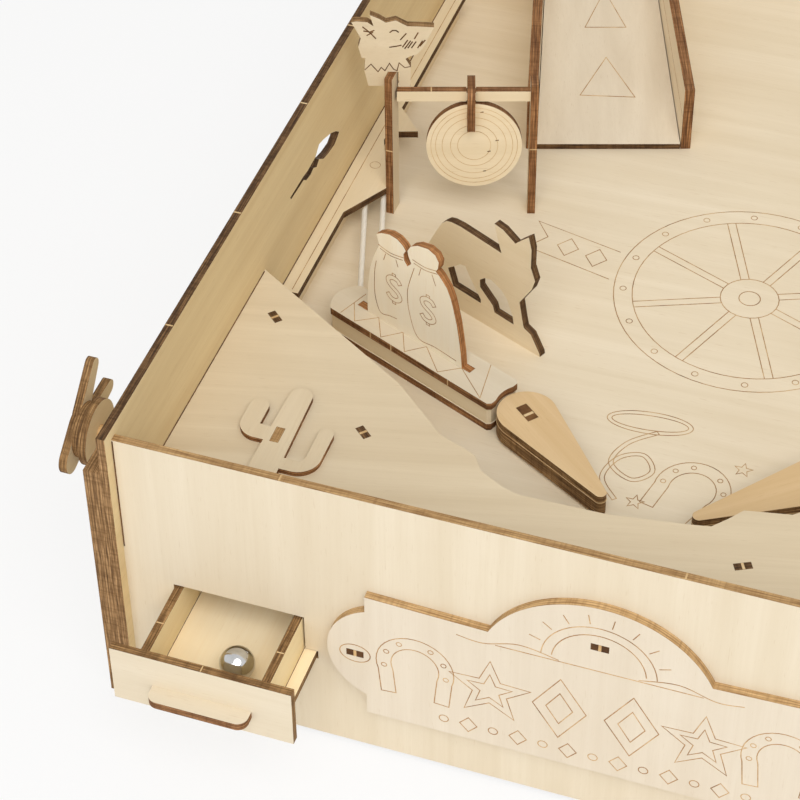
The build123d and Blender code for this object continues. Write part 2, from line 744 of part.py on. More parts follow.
# Flipper buttons: head, discs, rod, link and push bar on each side
spring_length = bracket_inset - link_inset - ply
for side, s in SIDES:
    face_x = s * (half_width + button_face)
    inner_disc = cylinder(flank(face_x - s * 2 * ply, button_y, button_z), disc_radius, -s * ply)
    outer_disc = cylinder(flank(face_x - s * ply, button_y, button_z), small_disc_radius, -s * ply)
    with BuildPart() as head:
        with BuildSketch(flank(face_x, button_y, button_z, head_angle)):
            with BuildSketch(mode=Mode.PRIVATE) as muzzle:
                Circle(head_radius)
                with Locations((-muzzle_reach, 0)):
                    Circle(muzzle_radius)
                make_hull()
            with BuildSketch(mode=Mode.PRIVATE) as horn:
                with Locations(horn_root):
                    Circle(horn_root_radius)
                with Locations(horn_tip):
                    Circle(horn_tip_radius)
                make_hull()
            add(muzzle.sketch)
            add(horn.sketch)
            add(mirror(horn.sketch, about=Plane.XZ, mode=Mode.PRIVATE))
        extrude(amount=-s * ply)
    rod_x = face_x - s * 3 * ply
    rod = cylinder(flank(rod_x, button_y, button_z), rod_radius, -s * (button_face - 3 * ply + rod_end))
    save(f"{side}_button_head", inner_disc, outer_disc, head)
    save(f"{side}_button_rod", rod)
    link_x = s * (half_width - link_inset)
    link_top = apron_under - fit
    link_points = [
        (link_front, link_top - link_drop), (link_leg_front, link_top - link_drop), (link_leg_front, link_foot),
        (link_leg_back, link_foot), (link_leg_back, link_top), (link_front, link_top),
    ]
    with BuildPart() as link:
        with BuildSketch(flank(link_x)):
            with BuildLine():
                Polyline(*link_points, close=True)
            make_face()
            with Locations((button_y, button_z)):
                Circle(rod_radius + key_fit / 2, mode=Mode.SUBTRACT)
        extrude(amount=-s * ply)
    pin_x = pivots[s][0] + s * crank_half
    bar_end = pin_x - s * bar_head / 2
    bar_back = flipper_y - crank_depth + bar_head / 2
    bar_points = [
        (link_x - s * ply, link_leg_front), (bar_end, link_leg_front), (bar_end, bar_back),
        (pin_x + s * bar_head / 2, bar_back), (pin_x + s * bar_head / 2, link_leg_back),
        (link_x - s * ply, link_leg_back),
    ]
    with BuildPart() as bar:
        with BuildSketch(deck(bar_low)):
            with BuildLine():
                Polyline(*bar_points, close=True)
            make_face()
            pin_sag = crank_radius - crank_depth
            with Locations((pin_x, flipper_y - crank_depth - pin_sag / 2)):
                Rectangle(crank_pin + 2 * pin_slack, crank_pin + pin_sag + 2 * pin_slack, mode=Mode.SUBTRACT)
        extrude(amount=ply)
    save(f"{side}_button_linkage", link, bar)
    save(f"{side}_button_spring", cylinder(flank(link_x - s * (ply + fit), button_y, button_z), spring_radius,
                                           -s * (spring_length - 2 * fit), spring_bore))

# Brackets for the rods under the apron, and guides for the push bars on the front beam
brackets = []
guides = []
for side, s in SIDES:
    with BuildPart() as bracket:
        with BuildSketch(flank(s * (half_width - bracket_inset))):
            with Locations((button_y, apron_under - bracket_height / 2)):
                Rectangle(bracket_width, bracket_height)
            with Locations((button_y, button_z)):
                Circle(rod_radius + shaft_fit, mode=Mode.SUBTRACT)
        extrude(amount=-s * ply)
    brackets.append(bracket)
    with BuildPart() as guide:
        guide_front = link_leg_front - guide_wall
        with BuildSketch(flank(s * (half_width - guide_inset))):
            with Locations(((guide_front + deck_front) / 2, bar_low + ply / 2)):
                Rectangle(deck_front - guide_front, ply + 2 * guide_wall)
            with Locations(((link_leg_front + link_leg_back) / 2, bar_low + ply / 2)):
                Rectangle(link_leg_back - link_leg_front + 2 * fit, ply + 2 * fit, mode=Mode.SUBTRACT)
        extrude(amount=-s * ply)
    guides.append(guide)
save("rod_brackets", *brackets)
save("bar_guides", *guides)

# Plunger in the shooter lane
plunger_rod = cylinder(upright(plunger_x, plunger_tip_y, plunger_z), rod_radius, plunger_tip_y + plunger_neck)
collar = cylinder(upright(plunger_x, plunger_collar_y + ply, plunger_z), plunger_collar, ply,
                  rod_radius + key_fit / 2)
save("plunger_rod", plunger_rod)
with BuildPart() as plunger_knob:
    with BuildSketch(upright(plunger_x, -plunger_neck, plunger_z)):
        Circle(plunger_knob_radius)
    extrude(amount=plunger_knob_length)
    fillet(plunger_knob.edges(), radius=plunger_knob_length / 5)
save("plunger_knob", plunger_knob)
save("plunger_discs", collar, cylinder(upright(plunger_x, plunger_tip_y + ply, plunger_z), plunger_collar, ply))
save("plunger_spring", cylinder(upright(plunger_x, plunger_collar_y - fit, plunger_z), spring_radius,
                                plunger_collar_y - ply - 2 * fit, spring_bore))
with BuildPart() as plunger_guide:
    with BuildSketch(upright(plunger_x, deck_front + ply, deck_height)):
        with Locations((0, plunger_guide_height / 2)):
            Rectangle(lane_width, plunger_guide_height)
        with Locations((0, ball_radius)):
            Circle(rod_radius + shaft_fit, mode=Mode.SUBTRACT)
    extrude(amount=ply)
save("plunger_guide", plunger_guide)

# Sling blocks with their money bags, bison, pegs and elastic bands
bags = []
bison_figures = []
pegs = []
bands = []


def block_points(s, inset):
    """A block's straight edges, and the arc of its outer end."""
    outer = s * (block_length / 2 - block_shift - inset)
    inner = -s * (block_length / 2 + block_shift - inset)
    back = block_width / 2 - inset
    arc = [(outer - s * block_nose, back), (outer, 0), (outer - s * block_nose, -back)]
    straight = [arc[2], (inner + s * block_chamfer, -back), (inner, block_chamfer - back),
                (inner, back - block_chamfer), (inner + s * block_chamfer, back), arc[0]]
    return straight, arc


for side, s in SIDES:
    block_x = from_wall(s, block_inset_share * play_half)
    turn = s * block_angle
    outer_end = s * (block_length / 2 - block_shift)
    tabs = [(s * (bag_shift - (a + b) / 2 * bag_width), (b - a) * bag_width) for a, b in bag_tab_shares]
    layers = []
    for low, thick, inset in ((0, ply, 0), (ply, guide_height - 2 * ply, block_inset),
                              (guide_height - ply, ply, 0)):
        with BuildPart() as layer:
            with BuildSketch(deck(deck_height + low, block_x, block_y, turn)):
                straight, corner_arc = block_points(s, inset)
                with BuildLine():
                    Polyline(*straight)
                    ThreePointArc(*corner_arc)
                make_face()
                heel = deck(0, block_x, block_y, turn).to_local_coords(spot(*pivots[s], 0))
                with Locations((heel.X, heel.Y)):
                    Circle(flipper_heel + heel_gap, mode=Mode.SUBTRACT)
                if inset:
                    with Locations((outer_end, inset + ply)):
                        Rectangle(2 * block_peg_room, block_width, mode=Mode.SUBTRACT)
                elif low:
                    for tab_x, tab_width in tabs:
                        with Locations((tab_x, bag_depth)):
                            Rectangle(tab_width + 2 * key_fit, ply + 2 * key_fit, mode=Mode.SUBTRACT)
            extrude(amount=thick)
        layers.append(layer)
    save(f"{side}_block", *layers)

    with BuildPart() as bag:
        with BuildSketch(upright(block_x, block_y, guide_top, turn).offset(-bag_depth)):
            with BuildLine():
                bag_points = scaled(bag_shares, -s * bag_width, bag_height)
                Polyline(*[(a + s * bag_shift, b) for a, b in bag_points], close=True)
            make_face()
            for tab_x, tab_width in tabs:
                with Locations((tab_x, -ply / 2)):
                    Rectangle(tab_width, ply)
        extrude(amount=ply / 2, both=True)
    bags.append(bag)

    with BuildPart() as bison:
        with BuildSketch(upright(from_wall(s, bison_spot[0]), bison_spot[1], deck_height, turn)):
            for shares, mode in ((bison_shares, Mode.ADD), *[(gap, Mode.SUBTRACT) for gap in bison_gap_shares]):
                with BuildLine():
                    Polyline(*scaled(shares, -s * bison_length, bison_height), close=True)
                make_face(mode=mode)
        extrude(amount=ply / 2, both=True)
    bison_figures.append(bison)

    peg_x = from_wall(s, peg_reach)
    with BuildPart() as rail_peg:
        with BuildSketch(deck(deck_height, peg_x, bump_y)):
            Circle(peg_radius)
        extrude(amount=wall_rise_height)
        with BuildSketch(deck(guide_top - ply, peg_x, bump_y)):
            Circle(dowel_radius)
        extrude(amount=ply)
    block_peg = deck(deck_height + ply, block_x, block_y, turn)
    peg_local = outer_end - s * block_peg_inset
    peg_end = BOX.to_local_coords(block_peg.from_local_coords(Vector(peg_local, 0, 0)))
    pegs.append(rail_peg)
    pegs.append(cylinder(deck(deck_height + ply, peg_end.X, peg_end.Y), peg_radius, guide_height - 2 * ply))
    run = (peg_end.X - peg_x, peg_end.Y - bump_y)
    band_turn = math.degrees(math.atan2(run[1], run[0]))
    middle = (peg_x + run[0] / 2, bump_y + run[1] / 2)
    with BuildPart() as band:
        with BuildSketch(deck(deck_height + band_rise, middle[0], middle[1], band_turn)):
            SlotCenterToCenter(math.hypot(*run), 2 * (peg_radius + key_fit + band_thick))
            SlotCenterToCenter(math.hypot(*run), 2 * (peg_radius + key_fit), mode=Mode.SUBTRACT)
        extrude(amount=band_height)
    bands.append(band)
save("bag_figures", *bags)
save("bison_figures", *bison_figures)
save("band_pegs", *pegs)
save("sling_bands", *bands)

# Target gate: two posts, a bar with a narrow neck, the wolf's head and the hanging target
gate_plane = upright(gate_spot[0] - half_width, gate_spot[1], deck_height, gate_angle)
posts = []
for along, turn, rise in ((0, 0, post_heights[0]), (gate_span, gate_angle, post_heights[1])):
    foot = BOX.to_local_coords(gate_plane.from_local_coords(Vector(along, 0, 0)))
    with BuildPart() as post:
        with BuildSketch(deck(deck_height, foot.X, foot.Y, turn)):
            Rectangle(ply, post_depth)
        extrude(amount=rise)
    posts.append(post)
save("gate_posts", *posts)
gate_sin = math.sin(math.radians(gate_angle))
gate_cos = math.cos(math.radians(gate_angle))
bar_start = ply / 2 * (1 + gate_sin) / gate_cos
bar_end = gate_span - ply / 2
target_along = target_share * gate_span
neck_height = bar_rise + bar_height / 2
with BuildPart() as gate_bar:
    with BuildSketch(gate_plane):
        with Locations(((bar_start + bar_end) / 2, neck_height)):
            Rectangle(bar_end - bar_start, bar_height)
        for end in (-1, 1):
            with Locations((target_along, neck_height + end * (bar_height + bar_neck) / 4)):
                Rectangle(ply + 2 * fit, (bar_height - bar_neck) / 2, mode=Mode.SUBTRACT)
    extrude(amount=ply / 2, both=True)
save("gate_bar", gate_bar)

# The wolf's head stands on the left post and its foot leans on the bar's back
notch_along = (post_depth / 2 * gate_sin + ply / 2 * gate_cos - bar_start + gate_sin * ply) / 2
with BuildPart() as wolf:
    with BuildSketch(gate_plane.offset(-ply / 2)):
        with BuildLine():
            wolf_points = scaled(wolf_shares, wolf_width, wolf_height)
            Polyline(*[(a + wolf_shift, b + wolf_rise) for a, b in wolf_points], close=True)
        make_face()
        with Locations((wolf_shift + wolf_foot_share * wolf_width, wolf_rise - wolf_foot_drop / 2)):
            Rectangle(wolf_foot, wolf_foot_drop)
        with Locations((notch_along, wolf_rise)):
            Rectangle(wolf_notch, 2 * (post_heights[0] - wolf_rise), mode=Mode.SUBTRACT)
    extrude(amount=-ply)
save("wolf_figure", wolf)

lean = math.atan(math.tan(math.radians(tilt_angle)) * math.cos(math.radians(gate_angle)))
bar_axis = gate_plane.x_dir
hang_up = BOX.z_dir * math.cos(lean) - gate_plane.z_dir * math.sin(lean)
hang_front = bar_axis.cross(hang_up)
target_pivot = gate_plane.from_local_coords(Vector(target_along, neck_height, 0))
disc_plane = Plane(origin=target_pivot, x_dir=bar_axis, z_dir=hang_front)
hanger_plane = Plane(origin=target_pivot, x_dir=hang_front, z_dir=-bar_axis)
tab_centre = target_radius - target_drop - (hanger_drop + target_radius - target_drop) / 2
with BuildPart() as target_disc:
    with BuildSketch(disc_plane):
        with Locations((target_shift, -target_drop)):
            Circle(target_radius)
        with Locations((0, tab_centre)):
            Rectangle(ply + 2 * key_fit, hanger_tab + 2 * key_fit, mode=Mode.SUBTRACT)
    extrude(amount=ply / 2, both=True)
save("target_disc", target_disc)
disc_top = target_radius - target_drop
with BuildPart() as hanger:
    with BuildSketch(hanger_plane):
        Circle(hook_radius + hook_wall)
        leg_bottom = -hanger_drop
        with Locations((hook_radius + hook_wall / 2, leg_bottom / 2)):
            Rectangle(hook_wall, hanger_drop)
        Circle(hook_radius, mode=Mode.SUBTRACT)
        with Locations((0, -hook_radius - hook_wall)):
            Rectangle(2 * hook_radius, 2 * (hook_radius + hook_wall), mode=Mode.SUBTRACT)
        with Locations(((hook_radius + ply / 2) / 2, (disc_top - fit + leg_bottom) / 2)):
            Rectangle(hook_radius - ply / 2, disc_top - fit - leg_bottom)
        with Locations((0, tab_centre)):
            Rectangle(ply, hanger_tab)
    extrude(amount=ply / 2, both=True)
save("target_hanger", hanger)

# Ramp: tapered floor between two side boards, with a rear support
ramp_angle = math.atan2(ramp_rise, ramp_length)
ramp_plane = deck(deck_height, ramp_spot[0] - half_width, ramp_spot[1], gate_angle)
floor_back = ramp_plane.y_dir * math.cos(ramp_angle) + ramp_plane.z_dir * math.sin(ramp_angle)
floor_plane = Plane(origin=ramp_plane.origin, x_dir=ramp_plane.x_dir, z_dir=ramp_plane.x_dir.cross(floor_back))
floor_run = math.hypot(ramp_length, ramp_rise)
floor_points = [(-ramp_width / 2, 0), (ramp_width / 2, 0), (ramp_rear_width / 2, floor_run),
                (-ramp_rear_width / 2, floor_run)]
save("ramp_floor", outline(floor_plane, floor_points, ply))
taper = math.atan2((ramp_width - ramp_rear_width) / 2, ramp_length)
side_run = math.hypot((ramp_width - ramp_rear_width) / 2, ramp_length)
ramp_sides = []
for s in (-1, 1):
    start = ramp_plane.from_local_coords(Vector(s * (ramp_width / 2 + fit), 0, 0))
    side_x = ramp_plane.y_dir * math.cos(taper) - ramp_plane.x_dir * (s * math.sin(taper))
    side_plane = Plane(origin=start, x_dir=side_x, z_dir=side_x.cross(BOX.z_dir))
    side_points = [(0, 0), (side_run, 0), (side_run, ramp_side_rear), (0, ramp_side_front)]
    ramp_sides.append(outline(side_plane, side_points, s * ramp_board))
save("ramp_sides", *ramp_sides)
support_plane = upright(0, 0, 0, gate_angle)
support_origin = ramp_plane.from_local_coords(Vector(0, ramp_length - ply, 0))
support = slab(Plane(origin=support_origin, x_dir=support_plane.x_dir, z_dir=support_plane.z_dir),
               (-ramp_rear_width / 2, 0), (ramp_rear_width, ramp_rise * (ramp_length - 2 * ply) / ramp_length),
               ply)
save("ramp_support", support)

print("button travel", round(button_travel, 3), "box origin", round(box_y, 3), round(box_z, 3))
print("target pivot", tuple(round(v, 3) for v in target_pivot), "lean", round(math.degrees(lean), 3))
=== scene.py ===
import bpy
import math
from mathutils import Matrix, Vector


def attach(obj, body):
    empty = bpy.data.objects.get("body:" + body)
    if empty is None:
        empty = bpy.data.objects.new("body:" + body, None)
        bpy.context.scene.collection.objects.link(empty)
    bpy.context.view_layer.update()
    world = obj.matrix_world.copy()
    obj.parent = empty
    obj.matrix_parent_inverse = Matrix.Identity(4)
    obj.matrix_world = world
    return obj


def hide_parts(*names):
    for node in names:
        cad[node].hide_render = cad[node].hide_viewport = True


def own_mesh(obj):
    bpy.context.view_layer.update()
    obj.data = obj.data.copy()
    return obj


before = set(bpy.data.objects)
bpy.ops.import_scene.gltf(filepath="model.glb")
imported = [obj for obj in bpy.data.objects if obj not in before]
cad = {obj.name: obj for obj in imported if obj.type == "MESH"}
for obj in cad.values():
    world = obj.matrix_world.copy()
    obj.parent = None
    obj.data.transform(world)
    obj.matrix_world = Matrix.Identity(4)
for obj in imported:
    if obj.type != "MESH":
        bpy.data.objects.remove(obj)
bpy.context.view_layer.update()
scene = bpy.context.scene

# Box frame of the source in mm: x across, y back from the front panel, z up from its lower edge
MM = 0.001
TILT = math.radians(7.0)
BOX_ORIGIN = (0.0, -0.2126535, 0.001548)
BOX = Matrix.Translation(BOX_ORIGIN) @ Matrix.Rotation(TILT, 4, "X") @ Matrix.Scale(MM, 4)
INTO_BOX = BOX.inverted()
SIDES = (("left", -1), ("right", 1))

# Sizes and places of the part that the dressing follows, in mm and degrees
SHEET = 3.0
FIT = 0.3
HALF_WIDTH = 163.5
PLAY_CENTRE = -8.25
PLAY_HALF = 155.25
DECK_TOP = 50.0
RAIL_TOP = 63.0
APRON_TOP = 83.0
PANEL_TOP = 119.0
WALL_TOP = 123.0
GATE_X, GATE_Y, GATE_TURN = 19.0 - HALF_WIDTH, 216.3, 18.4
GATE_SPAN = 53.8
RAMP_X, RAMP_Y = 88.7 - HALF_WIDTH, 278.3
RAMP_LENGTH, RAMP_RISE, RAMP_TAPER, RAMP_HALF = 125.0, 25.0, 8.0, 28.6
BLOCK_REACH, BLOCK_Y, BLOCK_TURN = 60.0, 132.0, 23.5
PEG_REACH, PEG_Y, BLOCK_PEG = 9.2, 223.9, 27.5
FLIPPER_TURN = 40.2
BALL_PLACE, BALL_RADIUS = (46.2 - HALF_WIDTH, -18.1, 47.8), 6.0


def polar(angle, radius=1.0):
    return radius * math.cos(math.radians(angle)), radius * math.sin(math.radians(angle))


def at(x, y, z):
    """A place in the tilted box, in metres of the part."""
    return BOX @ Vector((x, y, z))


def direction(x, y, z):
    return (BOX.to_3x3() @ Vector((x, y, z))).normalized()


def plane(origin, along, up):
    """A drawing plane in mm: along and up are box directions, and z stands off the surface."""
    a = Vector(along).normalized()
    b = Vector(up).normalized()
    n = a.cross(b)
    local = Matrix(((a.x, b.x, n.x, origin[0]), (a.y, b.y, n.y, origin[1]),
                    (a.z, b.z, n.z, origin[2]), (0, 0, 0, 1)))
    return BOX @ local


def deck(z, x=0.0, y=0.0, turn=0.0):
    """A plane that lies along the deck."""
    c, s = polar(turn)
    return plane((x, y, z), (c, s, 0), (-s, c, 0))


def upright(x, y, z, turn=0.0):
    """A plane that stands on the deck and looks to the front."""
    c, s = polar(turn)
    return plane((x, y, z), (c, s, 0), (0, 0, 1))


def lifted(base, height):
    return base @ Matrix.Translation((0, 0, height))


def from_wall(s, reach):
    """x at a reach from the play area's left (s = -1) or right (s = 1) side."""
    return PLAY_CENTRE + s * (PLAY_HALF - reach)


# ---------------------------------------------------------------- materials

def srgb(r, g, b):
    """A colour as it is seen, turned into the linear values that nodes take."""
    def linear(v):
        v /= 255.0
        return v / 12.92 if v <= 0.04045 else ((v + 0.055) / 1.055) ** 2.4
    return (linear(r), linear(g), linear(b), 1.0)


class Tree:
    """A small helper to wire the nodes of a material or a world."""

    def __init__(self, owner, output="Material"):
        self.owner = owner
        owner.use_nodes = True
        self.tree = owner.node_tree
        self.tree.nodes.clear()
        self.out = self.tree.nodes.new("ShaderNodeOutput" + output)

    def feed(self, socket, value):
        if isinstance(value, bpy.types.NodeSocket):
            self.tree.links.new(value, socket)
        else:
            socket.default_value = value

    def node(self, kind, inputs=None, **settings):
        new = self.tree.nodes.new("ShaderNode" + kind)
        for key, value in settings.items():
            setattr(new, key, value)
        for key, value in (inputs or {}).items():
            self.feed(new.inputs[key], value)
        return new

    def noise(self, vector, scale=1.0, detail=3.0, rough=0.55, warp=0.0):
        return self.node("TexNoise", {"Vector": vector, "Scale": scale, "Detail": detail, "Roughness": rough,
                                      "Distortion": warp}).outputs["Fac"]

    def ramp(self, factor, *stops):
        new = self.node("ValToRGB", {"Fac": factor})
        while len(new.color_ramp.elements) < len(stops):
            new.color_ramp.elements.new(0.5)
        for element, (place, colour) in zip(new.color_ramp.elements, stops):
            element.position = place
            element.color = colour
        return new.outputs["Color"]

    def mix(self, factor, a, b):
        # The sockets of the colour kind: factor, two colours and the result
        new = self.node("Mix", {0: factor, 6: a, 7: b}, data_type="RGBA")
        return new.outputs[2]

    def math(self, operation, a, b=0.0):
        return self.node("Math", {0: a, 1: b}, operation=operation).outputs[0]

    def vector(self, operation, a, b):
        """A sum of vectors, or a vector times a number."""
        second = "Scale" if operation == "SCALE" else 1
        return self.node("VectorMath", {0: a, second: b}, operation=operation).outputs[0]

    def span(self, value, source, result):
        """A value brought from one range into another."""
        return self.node("MapRange", {"Value": value, "From Min": source[0], "From Max": source[1],
                                      "To Min": result[0], "To Max": result[1]}).outputs[0]

    def coordinates(self):
        return self.node("TexCoord").outputs["Object"]

    def box_coordinates(self, turn=0.0):
        """Object coordinates, in metres, turned into the directions of the tilted box."""
        rotation = (-TILT, 0.0, -math.radians(turn))
        return self.node("Mapping", {"Vector": self.coordinates(), "Rotation": rotation}).outputs[0]

    def stretched(self, vector, scale):
        return self.node("Mapping", {"Vector": vector, "Scale": scale}).outputs[0]

    def looked_at(self):
        """1 for what the camera sees, straight or by way of gloss and glass, and 0 for other light."""
        rays = self.node("LightPath").outputs
        indirect = self.math("MAXIMUM", rays["Is Glossy Ray"], rays["Is Transmission Ray"])
        return self.math("MAXIMUM", rays["Is Camera Ray"], indirect)

    def finish(self, colour, roughness, height, strength, distance, **constants):
        bump = self.node("Bump", {"Height": height, "Strength": strength, "Distance": distance})
        shader = self.node("BsdfPrincipled", {"Base Color": colour, "Roughness": roughness,
                                              "Normal": bump.outputs[0]})
        for name, value in constants.items():
            shader.inputs[name.replace("_", " ")].default_value = value
        self.surface(shader)
        return self.owner

    def surface(self, shader):
        self.feed(self.out.inputs["Surface"], shader.outputs[0])


def material_tree(name):
    return Tree(bpy.data.materials.new(name))


made = {}


def cached(build):
    """Makes each material once."""
    def wrapper(*args):
        key = (build.__name__, args)
        if key not in made:
            made[key] = build(*args)
        return made[key]
    return wrapper


# Light, middle and dark tone of each kind of sheet face; some tones are lightened or darkened as painted light
# or shade, as noted
BIRCH = {
    "pale": ((220, 208, 186), (211, 197, 172), (188, 165, 129)),
    "plain": ((234, 218, 188), (223, 205, 171), (199, 170, 127)),
    "deck": ((236, 222, 197), (225, 209, 180), (200, 172, 132)),
    "sign": ((219, 208, 190), (210, 197, 177), (192, 172, 142)),
    # Darker and more saturated than plain: painted shade and warm bounce light on the left wall's inner face
    "wall": ((234, 213, 168), (219, 194, 147), (192, 158, 109)),
    "warm": ((235, 207, 162), (222, 189, 141), (196, 157, 107)),
    "shade": ((222, 206, 177), (209, 191, 160), (186, 159, 121)),
    # Lightened for the drawer's sides: painted light against the shade inside the drawer
    "drawer": ((246, 228, 184), (236, 213, 165), (212, 182, 131)),
    # Near white for the drawer's floor and back: painted light against the shade under the front panel
    "painted_light": ((252, 237, 204), (244, 223, 183), (226, 197, 148)),
    # Near white for the bags: partly their own paler, less yellow colour, partly painted light on their faces
    "bag": ((247, 240, 222), (242, 230, 205), (224, 203, 169)),
    "ramp": ((226, 213, 191), (214, 199, 175), (190, 167, 135)),
    "blade": ((224, 195, 151), (210, 178, 131), (186, 149, 103)),
}
AXES = {"X": 0, "Y": 1, "Z": 2}


def along_grain(grain, fine, long):
    """Noise scales that are long in the grain's direction and fine across it."""
    return tuple(long if i == AXES[grain] else fine for i in range(3))


@cached
def birch(tone, grain, turn=0.0):
    """Sheet face: soft streaks along the grain, fine fibre, short pores and broad cloudy tone."""
    light, middle, dark = (srgb(*c) for c in BIRCH[tone])
    t = material_tree(f"birch_{tone}_{grain}_{round(turn)}")
    place = t.box_coordinates(turn)
    streak = t.noise(t.stretched(place, along_grain(grain, 95.0, 5.0)), detail=4.0, rough=0.6, warp=0.6)
    fibre = t.noise(t.stretched(place, along_grain(grain, 1500.0, 28.0)), detail=2.0, rough=0.6)
    pore = t.noise(t.stretched(place, along_grain(grain, 2100.0, 190.0)), detail=1.0, rough=0.5)
    cloud = t.noise(place, scale=14.0, detail=3.0, rough=0.5, warp=0.8)
    colour = t.ramp(streak, (0.3, light), (0.72, middle))
    colour = t.mix(t.span(fibre, (0.42, 0.78), (0.0, 0.34)), colour, middle)
    colour = t.mix(t.span(pore, (0.66, 0.8), (0.0, 0.3)), colour, dark)
    colour = t.mix(t.span(cloud, (0.45, 0.85), (0.0, 0.28)), colour, t.mix(0.5, middle, dark))
    height = t.math("ADD", fibre, t.math("MULTIPLY", streak, 0.6))
    return t.finish(colour, t.span(fibre, (0.25, 0.8), (0.52, 0.72)), height, strength=0.16, distance=0.00012,
                    Specular_IOR_Level=0.28)


# Light, middle and dark tone of each kind of cut edge
EDGES = {
    "tan": ((206, 170, 120), (172, 136, 90), (120, 88, 54)),
    "mid": ((184, 146, 98), (130, 97, 60), (66, 43, 22)),
    "red": ((182, 134, 88), (132, 90, 55), (70, 42, 22)),
    "dark": ((136, 102, 66), (92, 65, 39), (44, 29, 15)),
    "leg": ((188, 150, 106), (138, 104, 66), (76, 52, 30)),
    "amber": ((202, 148, 96), (166, 112, 66), (112, 74, 42)),
    "sand": ((216, 184, 138), (188, 154, 108), (130, 97, 60)),
}


@cached
def edge(tone, normal, offset):
    """Laser-cut edge: three plies with dark glue lines, streaks along them and scorch across them."""
    light, middle, dark = (srgb(*c) for c in EDGES[tone])
    thinning, waver = 26.0, 0.18
    t = material_tree(f"edge_{tone}_{len(made)}")
    place = t.coordinates()
    depth = t.node("VectorMath", {0: place, 1: normal}, operation="DOT_PRODUCT").outputs["Value"]
    depth = t.math("MULTIPLY", t.math("SUBTRACT", depth, offset), 1.0 / MM)
    across = t.vector("SCALE", t.vector("SCALE", normal, depth), MM)
    flat = t.vector("SUBTRACT", place, across)
    thinned = t.vector("ADD", flat, t.vector("SCALE", across, thinning))
    scorch = t.noise(flat, scale=900.0, detail=3.0, rough=0.6)
    patch = t.noise(flat, scale=70.0, detail=3.0, rough=0.6)
    layer = t.noise(thinned, scale=75.0, detail=3.0, rough=0.65)
    waves = t.math("MULTIPLY", t.math("SUBTRACT", patch, 0.5), waver)
    ply = t.math("FRACT", t.math("ADD", depth, waves))
    glue = t.math("ABSOLUTE", t.math("SUBTRACT", ply, 0.5))
    colour = t.ramp(layer, (0.3, dark), (0.5, middle), (0.68, light))
    colour = t.mix(t.span(scorch, (0.45, 0.75), (0.0, 0.55)), colour, dark)
    colour = t.mix(t.span(glue, (0.36, 0.48), (0.0, 0.7)), colour, dark)
    colour = t.mix(t.span(patch, (0.55, 0.75), (0.0, 0.35)), colour, light)
    return t.finish(colour, t.span(scorch, (0.3, 0.7), (0.6, 0.85)), t.math("ADD", scorch, layer),
                    strength=0.35, distance=0.00015, Specular_IOR_Level=0.22)


# Light, middle and dark tone of each kind of drawn line
LINES = {
    "line": ((204, 170, 124), (164, 124, 80), (110, 76, 44)),
    "deep": ((120, 84, 50), (88, 58, 32), (52, 33, 18)),
    "nick": ((222, 196, 152), (206, 174, 126), (176, 138, 92)),
    "faint": ((218, 192, 148), (202, 172, 126), (168, 132, 88)),
}


@cached
def engraving(tone):
    """A laser line: brown, darker where the beam dwelt."""
    light, middle, dark = (srgb(*c) for c in LINES[tone])
    t = material_tree(f"engraving_{tone}")
    place = t.coordinates()
    dwell = t.noise(place, scale=130.0, detail=3.0, rough=0.65)
    spark = t.noise(place, scale=900.0, detail=2.0, rough=0.6)
    colour = t.ramp(dwell, (0.35, light), (0.55, middle), (0.75, dark))
    colour = t.mix(t.span(spark, (0.5, 0.8), (0.0, 0.5)), colour, middle)
    return t.finish(colour, t.span(spark, (0.3, 0.7), (0.65, 0.85)), spark, strength=0.3, distance=0.0001,
                    Specular_IOR_Level=0.2)


@cached
def dowel(grain):
    """Round wood: long fibres and a few darker rings."""
    t = material_tree(f"dowel_{grain}")
    place = t.box_coordinates()
    fibre = t.noise(t.stretched(place, along_grain(grain, 1300.0, 30.0)), detail=3.0, rough=0.6)
    ring = t.noise(place, scale=60.0, detail=2.0, rough=0.5)
    colour = t.ramp(fibre, (0.3, srgb(222, 188, 138)), (0.55, srgb(202, 162, 110)), (0.78, srgb(160, 116, 70)))
    colour = t.mix(t.span(ring, (0.5, 0.8), (0.0, 0.4)), colour, srgb(176, 132, 84))
    return t.finish(colour, t.span(fibre, (0.3, 0.8), (0.45, 0.65)), fibre, strength=0.25, distance=0.00015,
                    Specular_IOR_Level=0.35)


STEEL_ROUGHNESS = {"ball": (0.05, 0.12), "wire": (0.18, 0.34)}


@cached
def steel(polish):
    """Bright steel with hairline marks."""
    t = material_tree(f"steel_{polish}")
    place = t.coordinates()
    cloud = t.noise(place, scale=180.0, detail=3.0, rough=0.6)
    hair = t.noise(t.stretched(place, (3000.0, 400.0, 3000.0)), detail=2.0, rough=0.6)
    colour = t.ramp(cloud, (0.3, srgb(206, 206, 205)), (0.75, srgb(178, 178, 178)))
    return t.finish(colour, t.span(hair, (0.35, 0.75), STEEL_ROUGHNESS[polish]), hair, strength=0.05,
                    distance=0.00003, Metallic=1.0)


@cached
def elastic():
    """White covered elastic with fine ribs."""
    t = material_tree("white_elastic")
    place = t.box_coordinates()
    rib = t.noise(t.stretched(place, (2600.0, 90.0, 2600.0)), detail=2.0, rough=0.5)
    cloud = t.noise(place, scale=120.0, detail=2.0, rough=0.5)
    colour = t.ramp(rib, (0.3, srgb(240, 235, 224)), (0.75, srgb(228, 221, 207)))
    colour = t.mix(t.span(cloud, (0.5, 0.85), (0.0, 0.3)), colour, srgb(220, 211, 193))
    return t.finish(colour, t.span(rib, (0.3, 0.7), (0.4, 0.6)), rib, strength=0.4, distance=0.0001,
                    Specular_IOR_Level=0.4)


# ---------------------------------------------------------------- CAD nodes

APRON_GRAIN = 14.0
